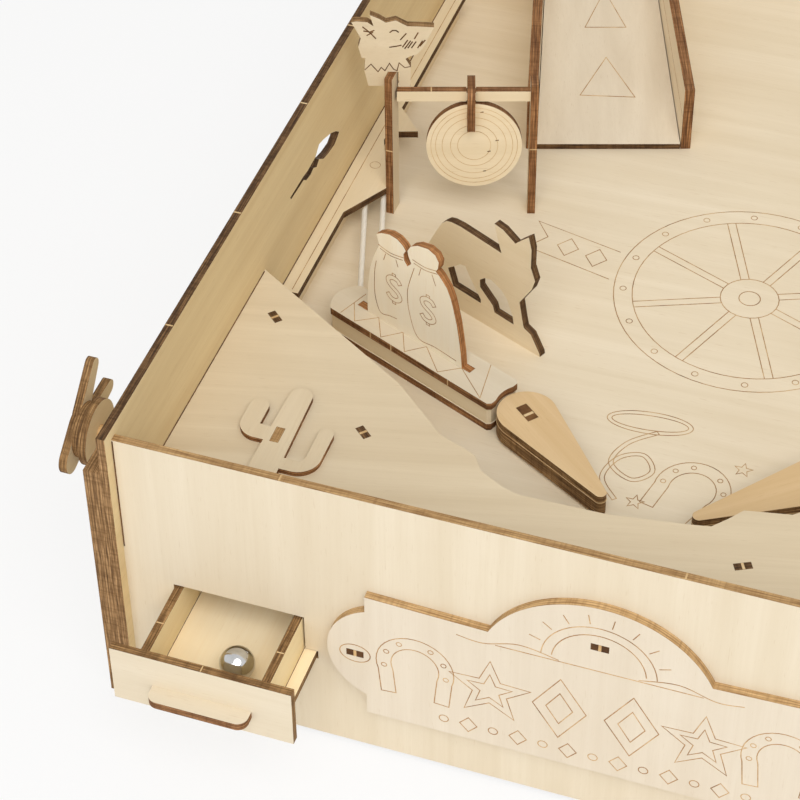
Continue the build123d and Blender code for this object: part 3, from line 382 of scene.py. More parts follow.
# Tone of the face, direction of its grain, its turn in the deck, and tone of the edge
LOOK = {
    "front_panel": ("pale", "Z", 0.0, "tan"),
    "back_panel": ("plain", "Z", 0.0, "mid"),
    # The left wall takes the darker wall tone: painted shade
    "left_wall": ("wall", "Y", 0.0, "dark"),
    "right_wall": ("plain", "Y", 0.0, "mid"),
    "front_legs": ("plain", "Z", 0.0, "leg"),
    "rear_legs": ("plain", "Z", 0.0, "mid"),
    "playfield": ("deck", "X", 0.0, "dark"),
    "deck_beams": ("shade", "X", 0.0, "dark"),
    "apron": ("shade", "X", APRON_GRAIN, "mid"),
    "apron_walls": ("shade", "Z", 0.0, "dark"),
    "cactus_figures": ("shade", "Y", 0.0, "red"),
    "sign_board": ("sign", "Z", 0.0, "sand"),
    "drawer_shelf": ("shade", "X", 0.0, "mid"),
    "gutter": ("shade", "X", 0.0, "mid"),
    "left_rail": ("plain", "Y", 0.0, "dark"),
    "lane_divider": ("plain", "Y", 0.0, "dark"),
    "rod_brackets": ("shade", "Z", 0.0, "mid"),
    "bar_guides": ("shade", "Z", 0.0, "mid"),
    "plunger_guide": ("shade", "Z", 0.0, "mid"),
    "left_block": ("pale", "X", -BLOCK_TURN, "red"),
    "right_block": ("pale", "X", BLOCK_TURN, "red"),
    # The bags' near-white tone is partly painted light
    "bag_figures": ("bag", "Z", 0.0, "amber"),
    "bison_figures": ("plain", "X", -BLOCK_TURN, "dark"),
    "wolf_figure": ("shade", "X", 0.0, "mid"),
    "gate_posts": ("shade", "Z", 0.0, "red"),
    "gate_bar": ("plain", "X", GATE_TURN, "red"),
    "ramp_floor": ("ramp", "Y", GATE_TURN, "dark"),
    "ramp_sides": ("deck", "Y", GATE_TURN, "red"),
    "ramp_support": ("shade", "X", GATE_TURN, "dark"),
    # The drawer's floor, sides and back take lightened tones: painted light
    "drawer_base": ("painted_light", "Y", 0.0, "mid"),
    "drawer_sides": ("drawer", "Y", 0.0, "mid"),
    "drawer_back": ("painted_light", "Z", 0.0, "mid"),
    "drawer_front": ("pale", "X", 0.0, "mid"),
    "drawer_handle": ("pale", "X", 0.0, "red"),
    "left_button_head": ("shade", "Y", 0.0, "mid"),
    "right_button_head": ("shade", "Y", 0.0, "mid"),
    "left_button_linkage": ("shade", "X", 0.0, "mid"),
    "right_button_linkage": ("shade", "X", 0.0, "mid"),
    "left_flipper_blades": ("blade", "X", -FLIPPER_TURN, "mid"),
    "right_flipper_blades": ("blade", "X", FLIPPER_TURN, "mid"),
    "left_flipper_crank": ("shade", "Y", 0.0, "mid"),
    "right_flipper_crank": ("shade", "Y", 0.0, "mid"),
    "plunger_discs": ("plain", "X", 0.0, "mid"),
    "target_disc": ("plain", "X", GATE_TURN, "red"),
    "target_hanger": ("warm", "Z", 0.0, "red"),
}
# Stock in metres: the ply, the ramp's boards and the cactus sheet
PLY, BOARD, THIN = 0.003, 0.004, 0.002
STOCK_SLACK = 0.05
FACING = 0.95
SAME_WAY = 0.98
KEY_FACES = 12
UP = direction(0, 0, 1)


def direction_key(vector):
    return tuple(round(c, 3) for c in vector)


ACROSS_KEY = direction_key(direction(1, 0, 0))


def solids_of(mesh):
    """Groups of polygons that share corners, one for each solid."""
    place = {}
    corner = [place.setdefault(tuple(round(c * 1e6) for c in v.co), len(place)) for v in mesh.vertices]
    parent = list(range(len(place)))

    def root(i):
        while parent[i] != i:
            parent[i] = parent[parent[i]]
            i = parent[i]
        return i
    for face in mesh.polygons:
        first = root(corner[face.vertices[0]])
        for v in face.vertices[1:]:
            parent[root(corner[v])] = first
    groups = {}
    for face in mesh.polygons:
        groups.setdefault(root(corner[face.vertices[0]]), []).append(face)
    return list(groups.values())


def sheet_normal(faces):
    """The direction that most of a solid's surface looks along."""
    sums = []
    for face in faces:
        for entry in sums:
            if abs(entry[0].dot(face.normal)) > SAME_WAY:
                entry[1] += face.area
                break
        else:
            sums.append([face.normal.copy(), face.area])
    normal = max(sums, key=lambda entry: entry[1])[0]
    lead = max(normal, key=abs)
    return normal if lead > 0 else -normal


def put(obj, faces, material):
    """Gives some faces a material, without touching the mesh."""
    names = [m.name if m else None for m in obj.data.materials]
    if material.name not in names:
        obj.data.materials.append(material)
        names.append(material.name)
    index = names.index(material.name)
    for face in faces:
        face.material_index = index


def facing(name, way):
    return [f for f in cad[name].data.polygons if f.normal.dot(way) > FACING]


def is_stock(thickness):
    """Whether a thickness is made of whole sheets."""
    layers = [thickness / sheet for sheet in (PLY, BOARD, THIN)]
    return min(abs(n - round(n)) for n in layers) < STOCK_SLACK


def dress_sheets(name):
    """Birch on the faces of each sheet and ply on its cut edges."""
    tone, grain, turn, edge_tone = LOOK[name]
    obj = cad[name]
    obj.data.materials.clear()
    for faces in solids_of(obj.data):
        normal = sheet_normal(faces)
        depths = [obj.data.vertices[v].co.dot(normal) for face in faces for v in face.vertices]
        low, high = min(depths), max(depths)
        put(obj, [f for f in faces if abs(f.normal.dot(normal)) > FACING], birch(tone, grain, turn))
        cut = [f for f in faces if abs(f.normal.dot(normal)) <= FACING]
        if is_stock(high - low):
            put(obj, cut, edge(edge_tone, direction_key(normal), round(low % PLY, 4)))
        else:
            put(obj, cut, birch("plain", grain, turn))


def dress_curved(name, tone, edge_tone):
    """Bent strips: their top and bottom are the cut edges."""
    obj = cad[name]
    obj.data.materials.clear()
    low = min(v.co.dot(UP) for v in obj.data.vertices)
    put(obj, [f for f in obj.data.polygons if abs(f.normal.dot(UP)) <= FACING], birch(tone, "X"))
    put(obj, [f for f in obj.data.polygons if abs(f.normal.dot(UP)) > FACING],
        edge(edge_tone, ACROSS_KEY, round(low % PLY, 4)))


def dress_all(name, material):
    obj = cad[name]
    obj.data.materials.clear()
    put(obj, obj.data.polygons, material)


def dress_cad():
    for name in LOOK:
        dress_sheets(name)
    dress_curved("corner_guides", "plain", "mid")
    dress_all("sign_pegs", engraving("deep"))
    # The wall's front end shows beside the leg, and the keys of the cactus figures show their ends
    put(cad["left_wall"], facing("left_wall", direction(0, -1, 0)), edge("leg", ACROSS_KEY, 0.0))
    for faces in solids_of(cad["cactus_figures"].data):
        if len(faces) <= KEY_FACES:
            put(cad["cactus_figures"], faces, edge("tan", ACROSS_KEY, 0.0))
    for side, _ in SIDES:
        shaft = f"{side}_flipper_shaft"
        dress_all(f"{side}_button_rod", dowel("X"))
        dress_all(shaft, dowel("Z"))
        put(cad[shaft], facing(shaft, UP), engraving("deep"))
    dress_all("band_pegs", birch("plain", "Z"))
    dress_all("plunger_rod", dowel("Y"))
    dress_all("plunger_knob", dowel("Y"))


dress_cad()


# ---------------------------------------------------------------- drawn lines

def place_piece(name, verts, faces, material, body, slot, smoothed=False):
    mesh = bpy.data.meshes.new(name)
    mesh.from_pydata([tuple(v) for v in verts], [], faces)
    mesh.materials.append(material)
    if smoothed:
        mesh.polygons.foreach_set("use_smooth", [True] * len(mesh.polygons))
    mesh.update()
    obj = bpy.data.objects.new(name, mesh)
    scene.collection.objects.link(obj)
    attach(obj, body)
    return obj


# Widths of lines, and how far they stand over and reach under their surface
LINE = 0.34
FINE = 0.3
HAIR = 0.28
LIFT = 0.04
SINK = 0.12
NO_STEP = 1e-9
NO_TURN = 1e-6
SHARPEST = 0.5


class Pen:
    """Collects strokes into one piece: each is a thin closed strip that sits in its surface."""

    def __init__(self):
        self.verts = []
        self.faces = []

    def stroke(self, base, points, closed=False, width=LINE, lift=LIFT):
        count = len(points)
        points = [Vector(p) for p in points]
        start = len(self.verts)
        for i, p in enumerate(points):
            before = points[i - 1] if i or closed else p
            after = points[(i + 1) % count] if i < count - 1 or closed else p
            came = (p - before).normalized() if (p - before).length > NO_STEP else None
            goes = (after - p).normalized() if (after - p).length > NO_STEP else None
            first, second = came or goes, goes or came
            tangent = (first + second).normalized() if (first + second).length > NO_TURN else came
            side = Vector((-tangent.y, tangent.x))
            bend = max(SHARPEST, abs(side.dot(Vector((-first.y, first.x)))))
            half = side * (width / 2 / bend)
            for q, z in ((p + half, lift), (p - half, lift), (p - half, -SINK), (p + half, -SINK)):
                self.verts.append(base @ Vector((q.x, q.y, z)))
        for i in range(count if closed else count - 1):
            a, b = start + 4 * i, start + 4 * ((i + 1) % count)
            for k in range(4):
                m = (k + 1) % 4
                self.faces.append((a + k, a + m, b + m, b + k))
        if not closed:
            end = start + 4 * (count - 1)
            self.faces.append((start + 3, start + 2, start + 1, start))
            self.faces.append((end, end + 1, end + 2, end + 3))

    def lay(self, name, material, body):
        return place_piece(name, self.verts, self.faces, material, body, "birch_ply")


def circle(x, y, r, count=40, squash=1.0):
    turns = [2 * math.pi * i / count for i in range(count)]
    return [(x + r * math.cos(a), y + r * squash * math.sin(a)) for a in turns]


def arc(x, y, r, first, last, count=24, squash=1.0):
    ends = [polar(first + (last - first) * i / count, r) for i in range(count + 1)]
    return [(x + u, y + squash * v) for u, v in ends]


STAR_POINTS = 5
STAR_INNER_SHARE = 0.42


def star(x, y, r):
    points = []
    for i in range(2 * STAR_POINTS):
        u, v = polar(90.0 + 180.0 * i / STAR_POINTS, r * STAR_INNER_SHARE if i % 2 else r)
        points.append((x + u, y + v))
    return points


def diamond(x, y, a, b):
    return [(x - a, y), (x, y - b), (x + a, y), (x, y + b)]


def smooth(points, steps=6):
    """A curve through the points."""
    last = len(points) - 1
    out = []
    for i in range(last):
        p0, p1, p2, p3 = (Vector(points[min(max(k, 0), last)]) for k in range(i - 1, i + 3))
        for j in range(steps):
            t = j / steps
            out.append(0.5 * ((2 * p1) + (p2 - p0) * t + (2 * p0 - 5 * p1 + 4 * p2 - p3) * t * t
                              + (3 * p1 - p0 - 3 * p2 + p3) * t ** 3))
    return out + [Vector(points[last])]


def band(points, width):
    """The outline of a strip of even width about a line."""
    points = [Vector(p) for p in points]
    left, right = [], []
    for i, p in enumerate(points):
        tangent = (points[min(i + 1, len(points) - 1)] - points[max(i - 1, 0)]).normalized()
        side = Vector((-tangent.y, tangent.x)) * width / 2
        left.append(p + side)
        right.append(p - side)
    return left + right[::-1]


# A shoe in shares of its size
SHOE_BEND_SHARE = 0.4
SHOE_RISE_SHARE = 0.06
SHOE_LEG_SHARES = (0.34, -0.5)
SHOE_WIDTH_SHARE = 0.19
SHOE_NAIL_SHARE = 0.035
SHOE_STRETCH = 1.05
SHOE_NAILS = (-10, 25, 60, 120, 155, 190)


def horseshoe(pen, base, x, y, size, turn=0.0):
    """An open shoe with its nail holes."""
    turned = base @ Matrix.Translation((x, y, 0)) @ Matrix.Rotation(math.radians(turn), 4, "Z")
    bend, rise = SHOE_BEND_SHARE * size, SHOE_RISE_SHARE * size
    leg_x, leg_y = (share * size for share in SHOE_LEG_SHARES)
    line = [(-leg_x, leg_y)] + arc(0, rise, bend, 200, -20, 22, SHOE_STRETCH) + [(leg_x, leg_y)]
    pen.stroke(turned, band(line, SHOE_WIDTH_SHARE * size), True)
    for angle in SHOE_NAILS:
        u, v = polar(angle, bend)
        pen.stroke(turned, circle(u, rise + SHOE_STRETCH * v, SHOE_NAIL_SHARE * size, 8), True, FINE)


def flipped(points, s):
    """A drawing of the left side, mirrored for the right side."""
    return [(-s * x, y) for x, y in points]


# Surfaces that are drawn on
FIELD = deck(DECK_TOP)
PANEL = upright(0, 0, 0)
SIGN = upright(0, -SHEET, 0)
GATE = upright(GATE_X, GATE_Y, DECK_TOP, GATE_TURN)
GATE_ALONG = polar(GATE_TURN)
SHOE = 27.0
END_KEY_X, END_KEY_Z = 81.7, 49.5
SIGN_KEYS = ((-END_KEY_X, END_KEY_Z), (0.0, 82.0), (END_KEY_X, END_KEY_Z))


def draw_sign():
    """A rising sun over a row of shoes, stars and diamonds."""
    row, sun, horizon = 48.0, 72.0, 71.0
    beads, bead_step = 28.0, 8.5
    hill = [(13, 71.5), (26, 74), (38, 70.5), (47, 71.5)]
    pen = Pen()
    for s in (-1, 1):
        horseshoe(pen, SIGN, s * 61, row, SHOE)
        for r in (14.5, 8.0):
            pen.stroke(SIGN, star(s * 35.5, row, r), True)
        for a, b in ((9.0, 14.5), (4.5, 7.5)):
            pen.stroke(SIGN, diamond(s * 12, row, a, b), True)
        pen.stroke(SIGN, circle(s * END_KEY_X, END_KEY_Z, 5.3, 28, 0.78), True)
        pen.stroke(SIGN, smooth([(s * x, y) for x, y in hill]))
    pen.stroke(SIGN, arc(0, sun, 19.0, 4, 176, 30))
    pen.stroke(SIGN, arc(0, sun, 15.5, 5, 175, 26))
    pen.stroke(SIGN, [(-34, horizon), (34, horizon)])
    for angle in range(20, 161, 20):
        c, s = polar(angle)
        pen.stroke(SIGN, [(r * c, sun + r * s) for r in (20.5, 24.5)])
    for i in range(-6, 7):
        x = i * bead_step
        pen.stroke(SIGN, diamond(x, beads, 3.0, 3.6) if i % 2 else circle(x, beads, 1.6, 16), True)
    pen.lay("sign_engraving", engraving("line"), "box")


def draw_playfield():
    """A wagon wheel with two tails of ribbon, and a coiled rope with a shoe."""
    wheel_x, wheel_y = 0.0, 208.0
    rim, felloe, hub, bore = 51.0, 44.0, 11.0, 4.0
    spokes, half_spoke = 8, 1.6
    bolts, bolt = 47.5, 1.2
    tail = [(53, 218.5), (88, 226.5), (82, 218.5), (88, 210.5), (53, 202)]
    tail_slope = 0.23
    pen = Pen()
    for r, count in ((rim, 64), (felloe, 64), (hub, 28), (bore, 28)):
        pen.stroke(FIELD, circle(wheel_x, wheel_y, r, count), True)
    for i in range(spokes):
        angle = 22.5 + 360.0 / spokes * i
        c, s = polar(angle)
        for side in (-half_spoke, half_spoke):
            pen.stroke(FIELD, [(wheel_x + r * c - side * s, wheel_y + r * s + side * c) for r in (hub, felloe)])
        for k in (-1, 1):
            u, v = polar(angle + k * 11.25, bolts)
            pen.stroke(FIELD, circle(wheel_x + u, wheel_y + v, bolt, 12), True, FINE)
    for s in (-1, 1):
        pen.stroke(FIELD, [(s * x, y) for x, y in tail])
        for x in (61, 73):
            pen.stroke(FIELD, diamond(s * x, 210.5 + (x - 53) * tail_slope, 4.2, 5.2), True)
    noose = deck(DECK_TOP, -18.0, 131.5, 6.0)
    for r, squash in ((15.5, 0.36), (13.8, 0.27)):
        pen.stroke(noose, circle(0, 0, r, 40, squash), True)
    rope = smooth([(-14, 127.5), (-23, 119), (-26, 108), (-17, 102), (-11, 108), (-16, 115), (-24, 111),
                   (-27, 100), (-20, 91)])
    pen.stroke(FIELD, band(rope, 1.7), True)
    horseshoe(pen, FIELD, 4, 102, SHOE, -18)
    for x, y in ((-13, 92), (19, 119)):
        pen.stroke(FIELD, star(x, y, 3.4), True)
    pen.lay("playfield_engraving", engraving("line"), "box")


def draw_ramp():
    """Two arrow heads on the floor and a line along each side board."""
    rise = math.atan2(RAMP_RISE, RAMP_LENGTH)
    taper = math.atan2(RAMP_TAPER, RAMP_LENGTH)
    c, s = GATE_ALONG
    up_ramp = (-s * math.cos(rise), c * math.cos(rise), math.sin(rise))
    floor_top = lifted(plane((RAMP_X, RAMP_Y, DECK_TOP), (c, s, 0), up_ramp), SHEET)
    pen = Pen()
    pen.stroke(floor_top, [(-10.5, 26.0), (11.7, 24.9), (0.8, 46.6)], True)
    pen.stroke(floor_top, [(-7.3, 63.3), (9.6, 63.3), (1.5, 84.0)], True)
    for side in (-1, 1):
        start = deck(DECK_TOP, RAMP_X, RAMP_Y, GATE_TURN) @ Vector((side * (RAMP_HALF + FIT), 0, 0))
        turn = math.radians(GATE_TURN) + side * taper
        run = (side * math.sin(turn), -side * math.cos(turn), 0)
        board = plane(INTO_BOX @ start, run, (0, 0, 1))
        pen.stroke(board, [(-side * 1.0, 15.5), (-side * 124.0, 35.5)], width=HAIR)
    pen.lay("ramp_engraving", engraving("line"), "box")


def draw_target():
    """Rings and a few dashes on both faces."""
    bar_share, bar_height = 0.5576, 55.2
    middle_x, middle_y = 1.3, -21.6
    ring_width, dash_width, half_dash, dash_slope = 0.24, 0.4, 0.6, 0.2
    c, s = GATE_ALONG
    lean = math.atan(math.tan(TILT) * c)
    pivot = INTO_BOX @ (GATE @ Vector((bar_share * GATE_SPAN, bar_height, 0)))
    disc = plane(pivot, (c, s, 0), (-s * math.sin(lean), c * math.sin(lean), math.cos(lean)))
    rear = disc @ Matrix.Rotation(math.pi, 4, "Y")
    rings, dashes = Pen(), Pen()
    for face, side in ((lifted(disc, SHEET / 2), 1), (lifted(rear, SHEET / 2), -1)):
        for r in (16.5, 14.7, 12.2, 9.0, 6.3):
            rings.stroke(face, circle(side * middle_x, middle_y, r, 48), True, ring_width)
        for x, y in ((2.8, 14.5), (8.7, 2.1), (4.1, -11.5), (5.7, -2.7)):
            x, y = middle_x + x, middle_y + y
            dashes.stroke(face, [(side * (x - half_dash), y), (side * (x + half_dash), y + dash_slope)],
                          width=dash_width)
    rings.lay("target_engraving", engraving("faint"), "target")
    dashes.lay("target_dashes", engraving("deep"), "target")


def draw_wolf():
    """Brow, muzzle, mouth, ear and the fur of the neck."""
    shift, face_width, fur_width = -1.1, 0.5, 0.36
    face = (
        [(-9.3, 85), (-6.5, 82.3), (-4.4, 79.6)], [(-9, 83.1), (-6.6, 82.6), (-4.9, 83.4)],
        [(-7.8, 81), (-5.4, 82.6)], [(0.7, 82.3), (1.8, 83.3), (3.1, 83.3), (4.1, 82.4)],
        [(4.6, 79), (6.9, 82)], [(9.8, 79.4), (11.3, 82.4)], [(0.5, 75.7), (3.3, 76.2), (5.1, 76.7)],
        [(5.4, 75.7), (7.4, 79)], [(6.2, 75), (8.5, 78.7)], [(7.4, 75.3), (9.2, 78.3)],
        [(8.7, 75.3), (10.5, 78.3)], [(11, 75.3), (12.9, 78.7)], [(11.8, 76.1), (13.9, 79)],
    )
    fur = [(-8.8, 65.3), (-6.4, 68), (-3.8, 64.5), (-2.6, 66.5), (-1.2, 65), (0.5, 68.4), (2, 65.7), (3.3, 65),
           (4.1, 68.6), (6.2, 66.4), (8.4, 66.9)]
    wolf = lifted(GATE, -SHEET / 2)
    pen = Pen()
    for points, width in [(line, face_width) for line in face] + [(fur, fur_width)]:
        pen.stroke(wolf, [(x + shift, y) for x, y in points], width=width)
    pen.lay("wolf_engraving", engraving("deep"), "box")


# Seams and ties of the two bags, and the line of the coin sign on each
BAG_LINES = (
    [(-21.2, 27), (-22.1, 21.2), (-22.3, 12), (-21.1, 6.1), (-19.1, 3.1), (-15, 4.2), (-11.4, 4.8)],
    [(-2.8, 34.1), (-5.8, 23.4), (-6.1, 17.5), (-5.4, 12.1), (-3, 4.4), (0.3, 1.4), (7, 2.2), (17.3, 1.8)],
    [(-20.1, 35.3), (-14, 34.6), (-7.7, 36)], [(-19.2, 34), (-14, 33.4), (-8.2, 34.6)],
    [(-3.6, 37.6), (2.5, 37.4), (8.6, 39.1)], [(-3, 36.3), (2.5, 36.1), (8.2, 37.6)],
    [(-16.5, 33), (-17.6, 29.4)], [(-11.6, 33), (-10.6, 30)],
    [(0.4, 35.6), (-0.6, 32)], [(5.6, 36), (7.4, 31.6)],
)
COIN = [(3.0, 3.3), (1.7, 4.9), (-0.9, 5.0), (-2.8, 3.4), (-2.0, 1.2), (1.8, -1.0), (2.9, -3.2), (1.0, -5.0),
        (-1.6, -4.9), (-3.1, -3.3)]
COIN_SPOTS = ((-12.7, 18.5), (3.7, 18.0))
COIN_WIDTH = 1.9
TICK = 0.5
TICK_INSET = 0.15


def draw_blocks(ticks):
    """A row of triangles on each block, the bags' seams with a coin sign each, and ticks on the rim."""
    valleys, peaks = (-27, -14, -2.4, 13.6, 33.8), (-34, -21.7, -9.7, 1.8, 18.7)
    valley_y, peak_y, rim_y = -7.6, -0.3, -8.2
    bag_shift, bag_front = 1.2, 0.3
    half_bar, bar_near, bar_far = 0.8, 5.9, 7.1
    zigzag = [p for a, b in zip(peaks, valleys) for p in ((a, peak_y), (b, valley_y))]
    bar = ((-half_bar, bar_near), (-half_bar, bar_far), (half_bar, bar_far), (half_bar, bar_near))
    blocks, bags = Pen(), Pen()
    for _, s in SIDES:
        x0, turn = from_wall(s, BLOCK_REACH), s * BLOCK_TURN
        block = deck(RAIL_TOP, x0, BLOCK_Y, turn)
        for line in (zigzag, [(-34, valley_y), (-34, 6.1)], [(33.8, valley_y), (25.4, 8.0)]):
            blocks.stroke(block, flipped(line, s), width=HAIR)
        face = upright(x0, BLOCK_Y, RAIL_TOP, turn) @ Matrix.Translation((s * bag_shift, 0, bag_front))
        for points in BAG_LINES:
            bags.stroke(face, smooth(flipped(points, s)), width=FINE)
        for x, y in COIN_SPOTS:
            coin = smooth([(x + a, y + b) for a, b in COIN])
            bags.stroke(face, flipped(band(coin, COIN_WIDTH), s), True, FINE)
            for end in (-1, 1):
                bags.stroke(face, flipped([(x + a, y + end * b) for a, b in bar], s), width=FINE)
        rim = INTO_BOX @ (block @ Vector((0, rim_y, -SHEET)))
        front = upright(rim.x, rim.y, rim.z, turn)
        for x in (-18.6, -8.5, 19.0):
            ticks.stroke(front, flipped([(x, TICK_INSET), (x, SHEET - TICK_INSET)], s), width=TICK)
    blocks.lay("block_engraving", engraving("line"), "box")
    bags.lay("bag_engraving", engraving("line"), "box")


# The apron walls: start of each, run to its end, and shares of the run where its tabs are
APRON_WALL_REACH = 6.0
APRON_WALLS = ((-1, 114.3, (60.0, -55.0), (0.11, 0.93)), (1, 99.0, (110.5, -56.8), (0.12, 0.967)))
KEY_HALF = 1.4


def draw_ticks(ticks):
    """Pale ticks where the sheets were held while they were cut."""
    long_tick, tab_tick, key_tick = 0.6, 0.9, 1.0
    across = (0.2, SHEET - 0.2)
    left_post_y, left_post_z = 212.8, 30.7
    right_post_front, right_post_z = 3.5, 31.5
    bar_top, bar_x = 107.5, 15.0
    wall_top, panel_top = deck(WALL_TOP), deck(PANEL_TOP)
    for s in (-1, 1):
        for y in (52.2, 113.5, 179.0, 229.6, 301.0, 384.0):
            ticks.stroke(wall_top, [(s * (HALF_WIDTH + x), y) for x in across], width=long_tick)
    for x in (-106.6, 24.0, 118.0):
        ticks.stroke(panel_top, [(x, y) for y in across], width=long_tick)
    for s, y, run, shares in APRON_WALLS:
        turn = math.degrees(math.atan2(run[1], run[0]))
        for share in shares:
            tab_x = from_wall(s, APRON_WALL_REACH + run[0] * share)
            tab = deck(APRON_TOP, tab_x, y + run[1] * share, -s * turn)
            ticks.stroke(tab, [(0, -KEY_HALF), (0, KEY_HALF)], width=tab_tick)
    for x, z in SIGN_KEYS:
        ticks.stroke(SIGN, [(x, z - KEY_HALF), (x, z + KEY_HALF)], width=key_tick)
    left_post = upright(GATE_X, left_post_y, DECK_TOP)
    ticks.stroke(left_post, [(-KEY_HALF, left_post_z), (KEY_HALF, left_post_z)], width=TICK)
    right_post = lifted(GATE, right_post_front) @ Matrix.Translation((GATE_SPAN, 0, 0))
    ticks.stroke(right_post, [(-KEY_HALF, right_post_z), (KEY_HALF, right_post_z)], width=TICK)
    bar = deck(bar_top, GATE_X, GATE_Y, GATE_TURN)
    ticks.stroke(bar, [(bar_x, -KEY_HALF), (bar_x, KEY_HALF)], width=TICK)
    ticks.lay("cut_ticks", engraving("nick"), "box")


def draw_drawer():
    """Pale ticks on the drawer's rims, and dark lines of painted shade in the corners where its floor meets its
    sides.
    """
    front_top, side_top, floor_top = 59.0, 56.5, 41.5
    front_tick, side_tick, corner_shade_width = 0.4, 0.45, 0.22
    ticks, seams = Pen(), Pen()
    ticks.stroke(deck(front_top), [(-123.2, -33.8), (-123.2, -31.2)], width=front_tick)
    for x, y in ((-144.5, -16.7), (-102.5, -16.2)):
        ticks.stroke(deck(side_top), [(x - 1.3, y), (x + 1.3, y)], width=side_tick)
    # Painted shade: dark lines in the corners where the drawer's floor meets its sides
    for x in (-142.8, -100.8):
        seams.stroke(deck(floor_top), [(x, -30.6), (x, 20.0)], width=corner_shade_width)
    ticks.lay("drawer_ticks", engraving("nick"), "drawer")
    seams.lay("drawer_corner_shade", engraving("deep"), "drawer")


def draw_rails():
    """A line along each rail, and the mark of the dowel."""
    line_reach, peg_mark, mark_width = 4.4, 2.05, 0.22
    rail = deck(RAIL_TOP)
    pen = Pen()
    for s in (-1, 1):
        x = from_wall(s, line_reach)
        pen.stroke(rail, [(x, 145.0), (x, 342.0)], width=HAIR)
        pen.stroke(rail, circle(from_wall(s, PEG_REACH), PEG_Y, peg_mark, 24), True, mark_width)
    pen.lay("rail_engraving", engraving("line"), "box")


def draw_gap_shade():
    """Dark lines of painted shade in the gaps where the front panel, the apron and the rail meet a wall."""
    panel_x, panel_shade_width, wall_x, wall_shade_width = 163.2, 0.5, -163.25, 0.4
    pen = Pen()
    for s in (-1, 1):
        # Painted shade: dark lines where the panel meets each wall, and along the apron and the rail at the
        # left wall
        pen.stroke(PANEL, [(s * panel_x, 70.0), (s * panel_x, 118.6)], width=panel_shade_width)
    for z, near, far in ((APRON_TOP, 4.0, 130.0), (RAIL_TOP, 143.0, 345.0)):
        pen.stroke(deck(z), [(wall_x, near), (wall_x, far)], width=wall_shade_width)
    pen.lay("gap_shade_lines", engraving("deep"), "box")


def draw_flippers():
    """A pale tick across each key, and the pale joint under the top layer."""
    middle, shaft_reach, shaft_y = PLAY_CENTRE + 2.4, 52.4, 112.3
    top, joint, joint_lift = 60.5, 57.5, 0.14
    root, tip, length = 10.8, 2.2, 45.96
    tick_x, half_tick, tick_width = 0.9, 1.9, 1.1
    lean = math.degrees(math.asin((root - tip) / length))
    rim = arc(0, 0, root, 90 - lean, 270 + lean, 40) + arc(length, 0, tip, lean - 90, 90 - lean, 12)
    for side, s in SIDES:
        pen = Pen()
        spot = (middle + s * shaft_reach, shaft_y)
        key = deck(top, *spot, s * FLIPPER_TURN)
        pen.stroke(key, [(tick_x, -half_tick), (tick_x, half_tick)], width=tick_width)
        turn = -FLIPPER_TURN if s < 0 else 180.0 + FLIPPER_TURN
        pen.stroke(deck(joint, *spot, turn), rim, True, FINE, joint_lift)
        pen.lay(f"{side}_flipper_tick", engraving("nick"), f"{side}_flipper")


draw_sign()
draw_playfield()
draw_ramp()
draw_target()
draw_wolf()
tick_pen = Pen()
draw_blocks(tick_pen)
draw_ticks(tick_pen)
draw_drawer()
draw_rails()
draw_gap_shade()
draw_flippers()


# ---------------------------------------------------------------- replaced pieces

def tube(path, radius, closed=False, around=10, first=0):
    """Corners and faces of a round wire along a path of points in metres."""
    count = len(path)
    verts, faces = [], []
    reference = None
    for i, p in enumerate(path):
        before = path[i - 1] if i or closed else p
        after = path[(i + 1) % count] if i < count - 1 or closed else p
        tangent = (after - before).normalized()
        if reference is None:
            reference = tangent.orthogonal().normalized()
        reference = (reference - tangent * reference.dot(tangent)).normalized()
        other = tangent.cross(reference)
        for k in range(around):
            a = 2 * math.pi * k / around
            verts.append(p + (reference * math.cos(a) + other * math.sin(a)) * radius)
    for i in range(count if closed else count - 1):
        a, b = i * around, (i + 1) % count * around
        for k in range(around):
            m = (k + 1) % around
            faces.append((a + k, a + m, b + m, b + k))
    if not closed:
        faces.append(tuple(range(around))[::-1])
        faces.append(tuple((count - 1) * around + k for k in range(around)))
    return verts, [tuple(first + v for v in face) for face in faces]


def helix(start, end, radius, turns, steps=18):
    axis = end - start
    u = axis.orthogonal().normalized()
    v = axis.normalized().cross(u)
    points = []
    for i in range(turns * steps + 1):
        a = 2 * math.pi * i / steps
        points.append(start + axis * (i / (turns * steps)) + (u * math.cos(a) + v * math.sin(a)) * radius)
    return points


COIL_RADIUS, WIRE_RADIUS = 0.0040, 0.0004


def coil(name, start, end, turns):
    """A spring's wire."""
    wire = tube(helix(start, end, COIL_RADIUS, turns), WIRE_RADIUS)
    return place_piece(name, *wire, steel("wire"), "box", "steel", True)


def make_springs():
    rod_y, rod_z, outer_x, inner_x = 42.0, 75.0, 139.0, 116.0
    lane_x, lane_z, near_y, far_y = 156.75, 56.0, 4.0, 59.0
    for side, s in SIDES:
        outer, inner = at(s * outer_x, rod_y, rod_z), at(s * inner_x, rod_y, rod_z)
        spring = coil(f"{side}_button_coil", outer, inner, 9)
        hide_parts(f"{side}_button_spring")
        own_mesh(spring)
    near, far = at(lane_x, near_y, lane_z), at(lane_x, far_y, lane_z)
    spring = coil("plunger_coil", near, far, 16)
    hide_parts("plunger_spring")
    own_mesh(spring)


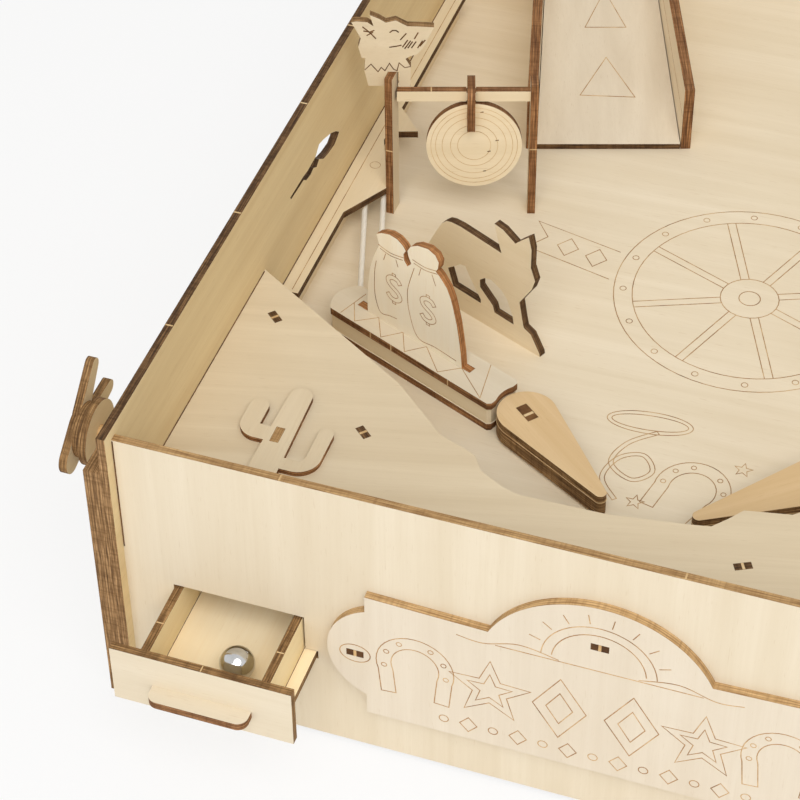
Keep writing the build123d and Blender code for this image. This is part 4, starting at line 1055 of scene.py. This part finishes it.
def make_bands():
    """Elastic bands: a round cord looped about the rail's peg and the block's peg."""
    cord_z, loop_radius, cord_radius = 57.6, 3.5, 0.0011
    verts, faces = [], []
    for _, s in SIDES:
        u, v = polar(s * BLOCK_TURN, BLOCK_PEG)
        peg_x, end_x, end_y = from_wall(s, PEG_REACH), from_wall(s, BLOCK_REACH) + s * u, BLOCK_Y + s * v
        run = math.degrees(math.atan2(end_y - PEG_Y, end_x - peg_x))
        loop = arc(end_x, end_y, loop_radius, run - 90, run + 90, 14)
        loop += arc(peg_x, PEG_Y, loop_radius, run + 90, run + 270, 14)
        corners, quads = tube([at(x, y, cord_z) for x, y in loop], cord_radius, True, 12, len(verts))
        verts += corners
        faces += quads
    cord = place_piece("sling_cords", verts, faces, elastic(), "box", "white_elastic", True)
    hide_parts("sling_bands")


def make_ball():
    """A smooth sphere."""
    rings, spokes = 32, 64
    x, y, z = BALL_PLACE
    verts = [at(x, y, z + BALL_RADIUS)]
    for i in range(1, rings):
        a = math.pi * i / rings
        level, reach = BALL_RADIUS * math.cos(a), BALL_RADIUS * math.sin(a)
        for k in range(spokes):
            b = 2 * math.pi * k / spokes
            verts.append(at(x + reach * math.cos(b), y + reach * math.sin(b), z + level))
    verts.append(at(x, y, z - BALL_RADIUS))
    last = len(verts) - 1
    faces = [(0, 1 + k, 1 + (k + 1) % spokes) for k in range(spokes)]
    for i in range(rings - 2):
        a, b = 1 + i * spokes, 1 + (i + 1) * spokes
        faces += [(a + k, b + k, b + (k + 1) % spokes, a + (k + 1) % spokes) for k in range(spokes)]
    a = 1 + (rings - 2) * spokes
    faces += [(a + k, last, a + (k + 1) % spokes) for k in range(spokes)]
    ball = place_piece("steel_ball", verts, faces, steel("ball"), "ball", "steel", True)
    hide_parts("ball")


make_springs()
make_bands()
make_ball()


# ---------------------------------------------------------------- stage, light and camera

WHITE = (1.0, 1.0, 1.0, 1.0)


def make_floor():
    """A pale floor that looks white but still takes a soft shadow."""
    reach, whiteness = 6.0, 0.8
    mesh = bpy.data.meshes.new("floor")
    corners = [(-reach, -reach, 0), (reach, -reach, 0), (reach, reach, 0), (-reach, reach, 0)]
    mesh.from_pydata(corners, [], [(0, 1, 2, 3)])
    floor = bpy.data.objects.new("floor", mesh)
    scene.collection.objects.link(floor)
    t = material_tree("floor_white")
    seen = t.math("MULTIPLY", t.looked_at(), whiteness)
    paper = t.noise(t.coordinates(), scale=3.0, detail=2.0)
    grey = t.ramp(paper, (0.3, (0.80, 0.80, 0.80, 1.0)), (0.7, (0.83, 0.83, 0.83, 1.0)))
    diffuse = t.node("BsdfDiffuse", {"Color": grey})
    white = t.node("Emission", {"Color": WHITE, "Strength": 1.0})
    t.surface(t.node("MixShader", {0: seen, 1: diffuse.outputs[0], 2: white.outputs[0]}))
    mesh.materials.append(t.owner)


def make_world():
    """White behind the part, and a softer fill on it."""
    t = Tree(bpy.data.worlds.new("studio"), "World")
    scene.world = t.owner
    fill = t.node("Background", {"Color": (1.0, 0.99, 0.97, 1.0), "Strength": 0.55})
    white = t.node("Background", {"Color": WHITE, "Strength": 1.0})
    t.surface(t.node("MixShader", {0: t.looked_at(), 1: fill.outputs[0], 2: white.outputs[0]}))


LAMP_TARGET = (0.0, 0.0, 0.05)


def lamp(name, place, size, watts, colour):
    data = bpy.data.lights.new(name, "AREA")
    data.shape = "DISK"
    data.size = size
    data.energy = watts
    data.color = colour
    obj = bpy.data.objects.new(name, data)
    obj.location = place
    obj.rotation_euler = (Vector(LAMP_TARGET) - Vector(place)).to_track_quat("-Z", "Y").to_euler()
    scene.collection.objects.link(obj)


# The camera was solved from the straight edges of the box in the photograph
CAMERA_PLACE = (0.118323, -0.8149885, 0.628866)
CAMERA_RIGHT = (0.945506, 0.324124, 0.031007)
CAMERA_ABOVE = (-0.219214, 0.563261, 0.796670)
LENS, SENSOR, NEAREST = 116.587, 36.0, 0.01


def make_camera():
    camera = bpy.data.objects.new("camera", bpy.data.cameras.new("camera"))
    camera.data.sensor_fit = "HORIZONTAL"
    camera.data.sensor_width = SENSOR
    camera.data.lens = LENS
    camera.data.clip_start = NEAREST
    right, above, place = Vector(CAMERA_RIGHT), Vector(CAMERA_ABOVE), Vector(CAMERA_PLACE)
    back = right.cross(above)
    camera.matrix_world = Matrix(((right.x, above.x, back.x, place.x), (right.y, above.y, back.y, place.y),
                                  (right.z, above.z, back.z, place.z), (0, 0, 0, 1)))
    scene.collection.objects.link(camera)
    scene.camera = camera


make_floor()
make_world()
lamp("key", (0.5, -1.5, 1.7), 1.8, 30.0, (1.0, 0.985, 0.96))
lamp("fill", (-0.25, -1.9, 0.4), 1.6, 12.0, (1.0, 1.0, 1.0))
make_camera()
scene.view_settings.view_transform = "Standard"
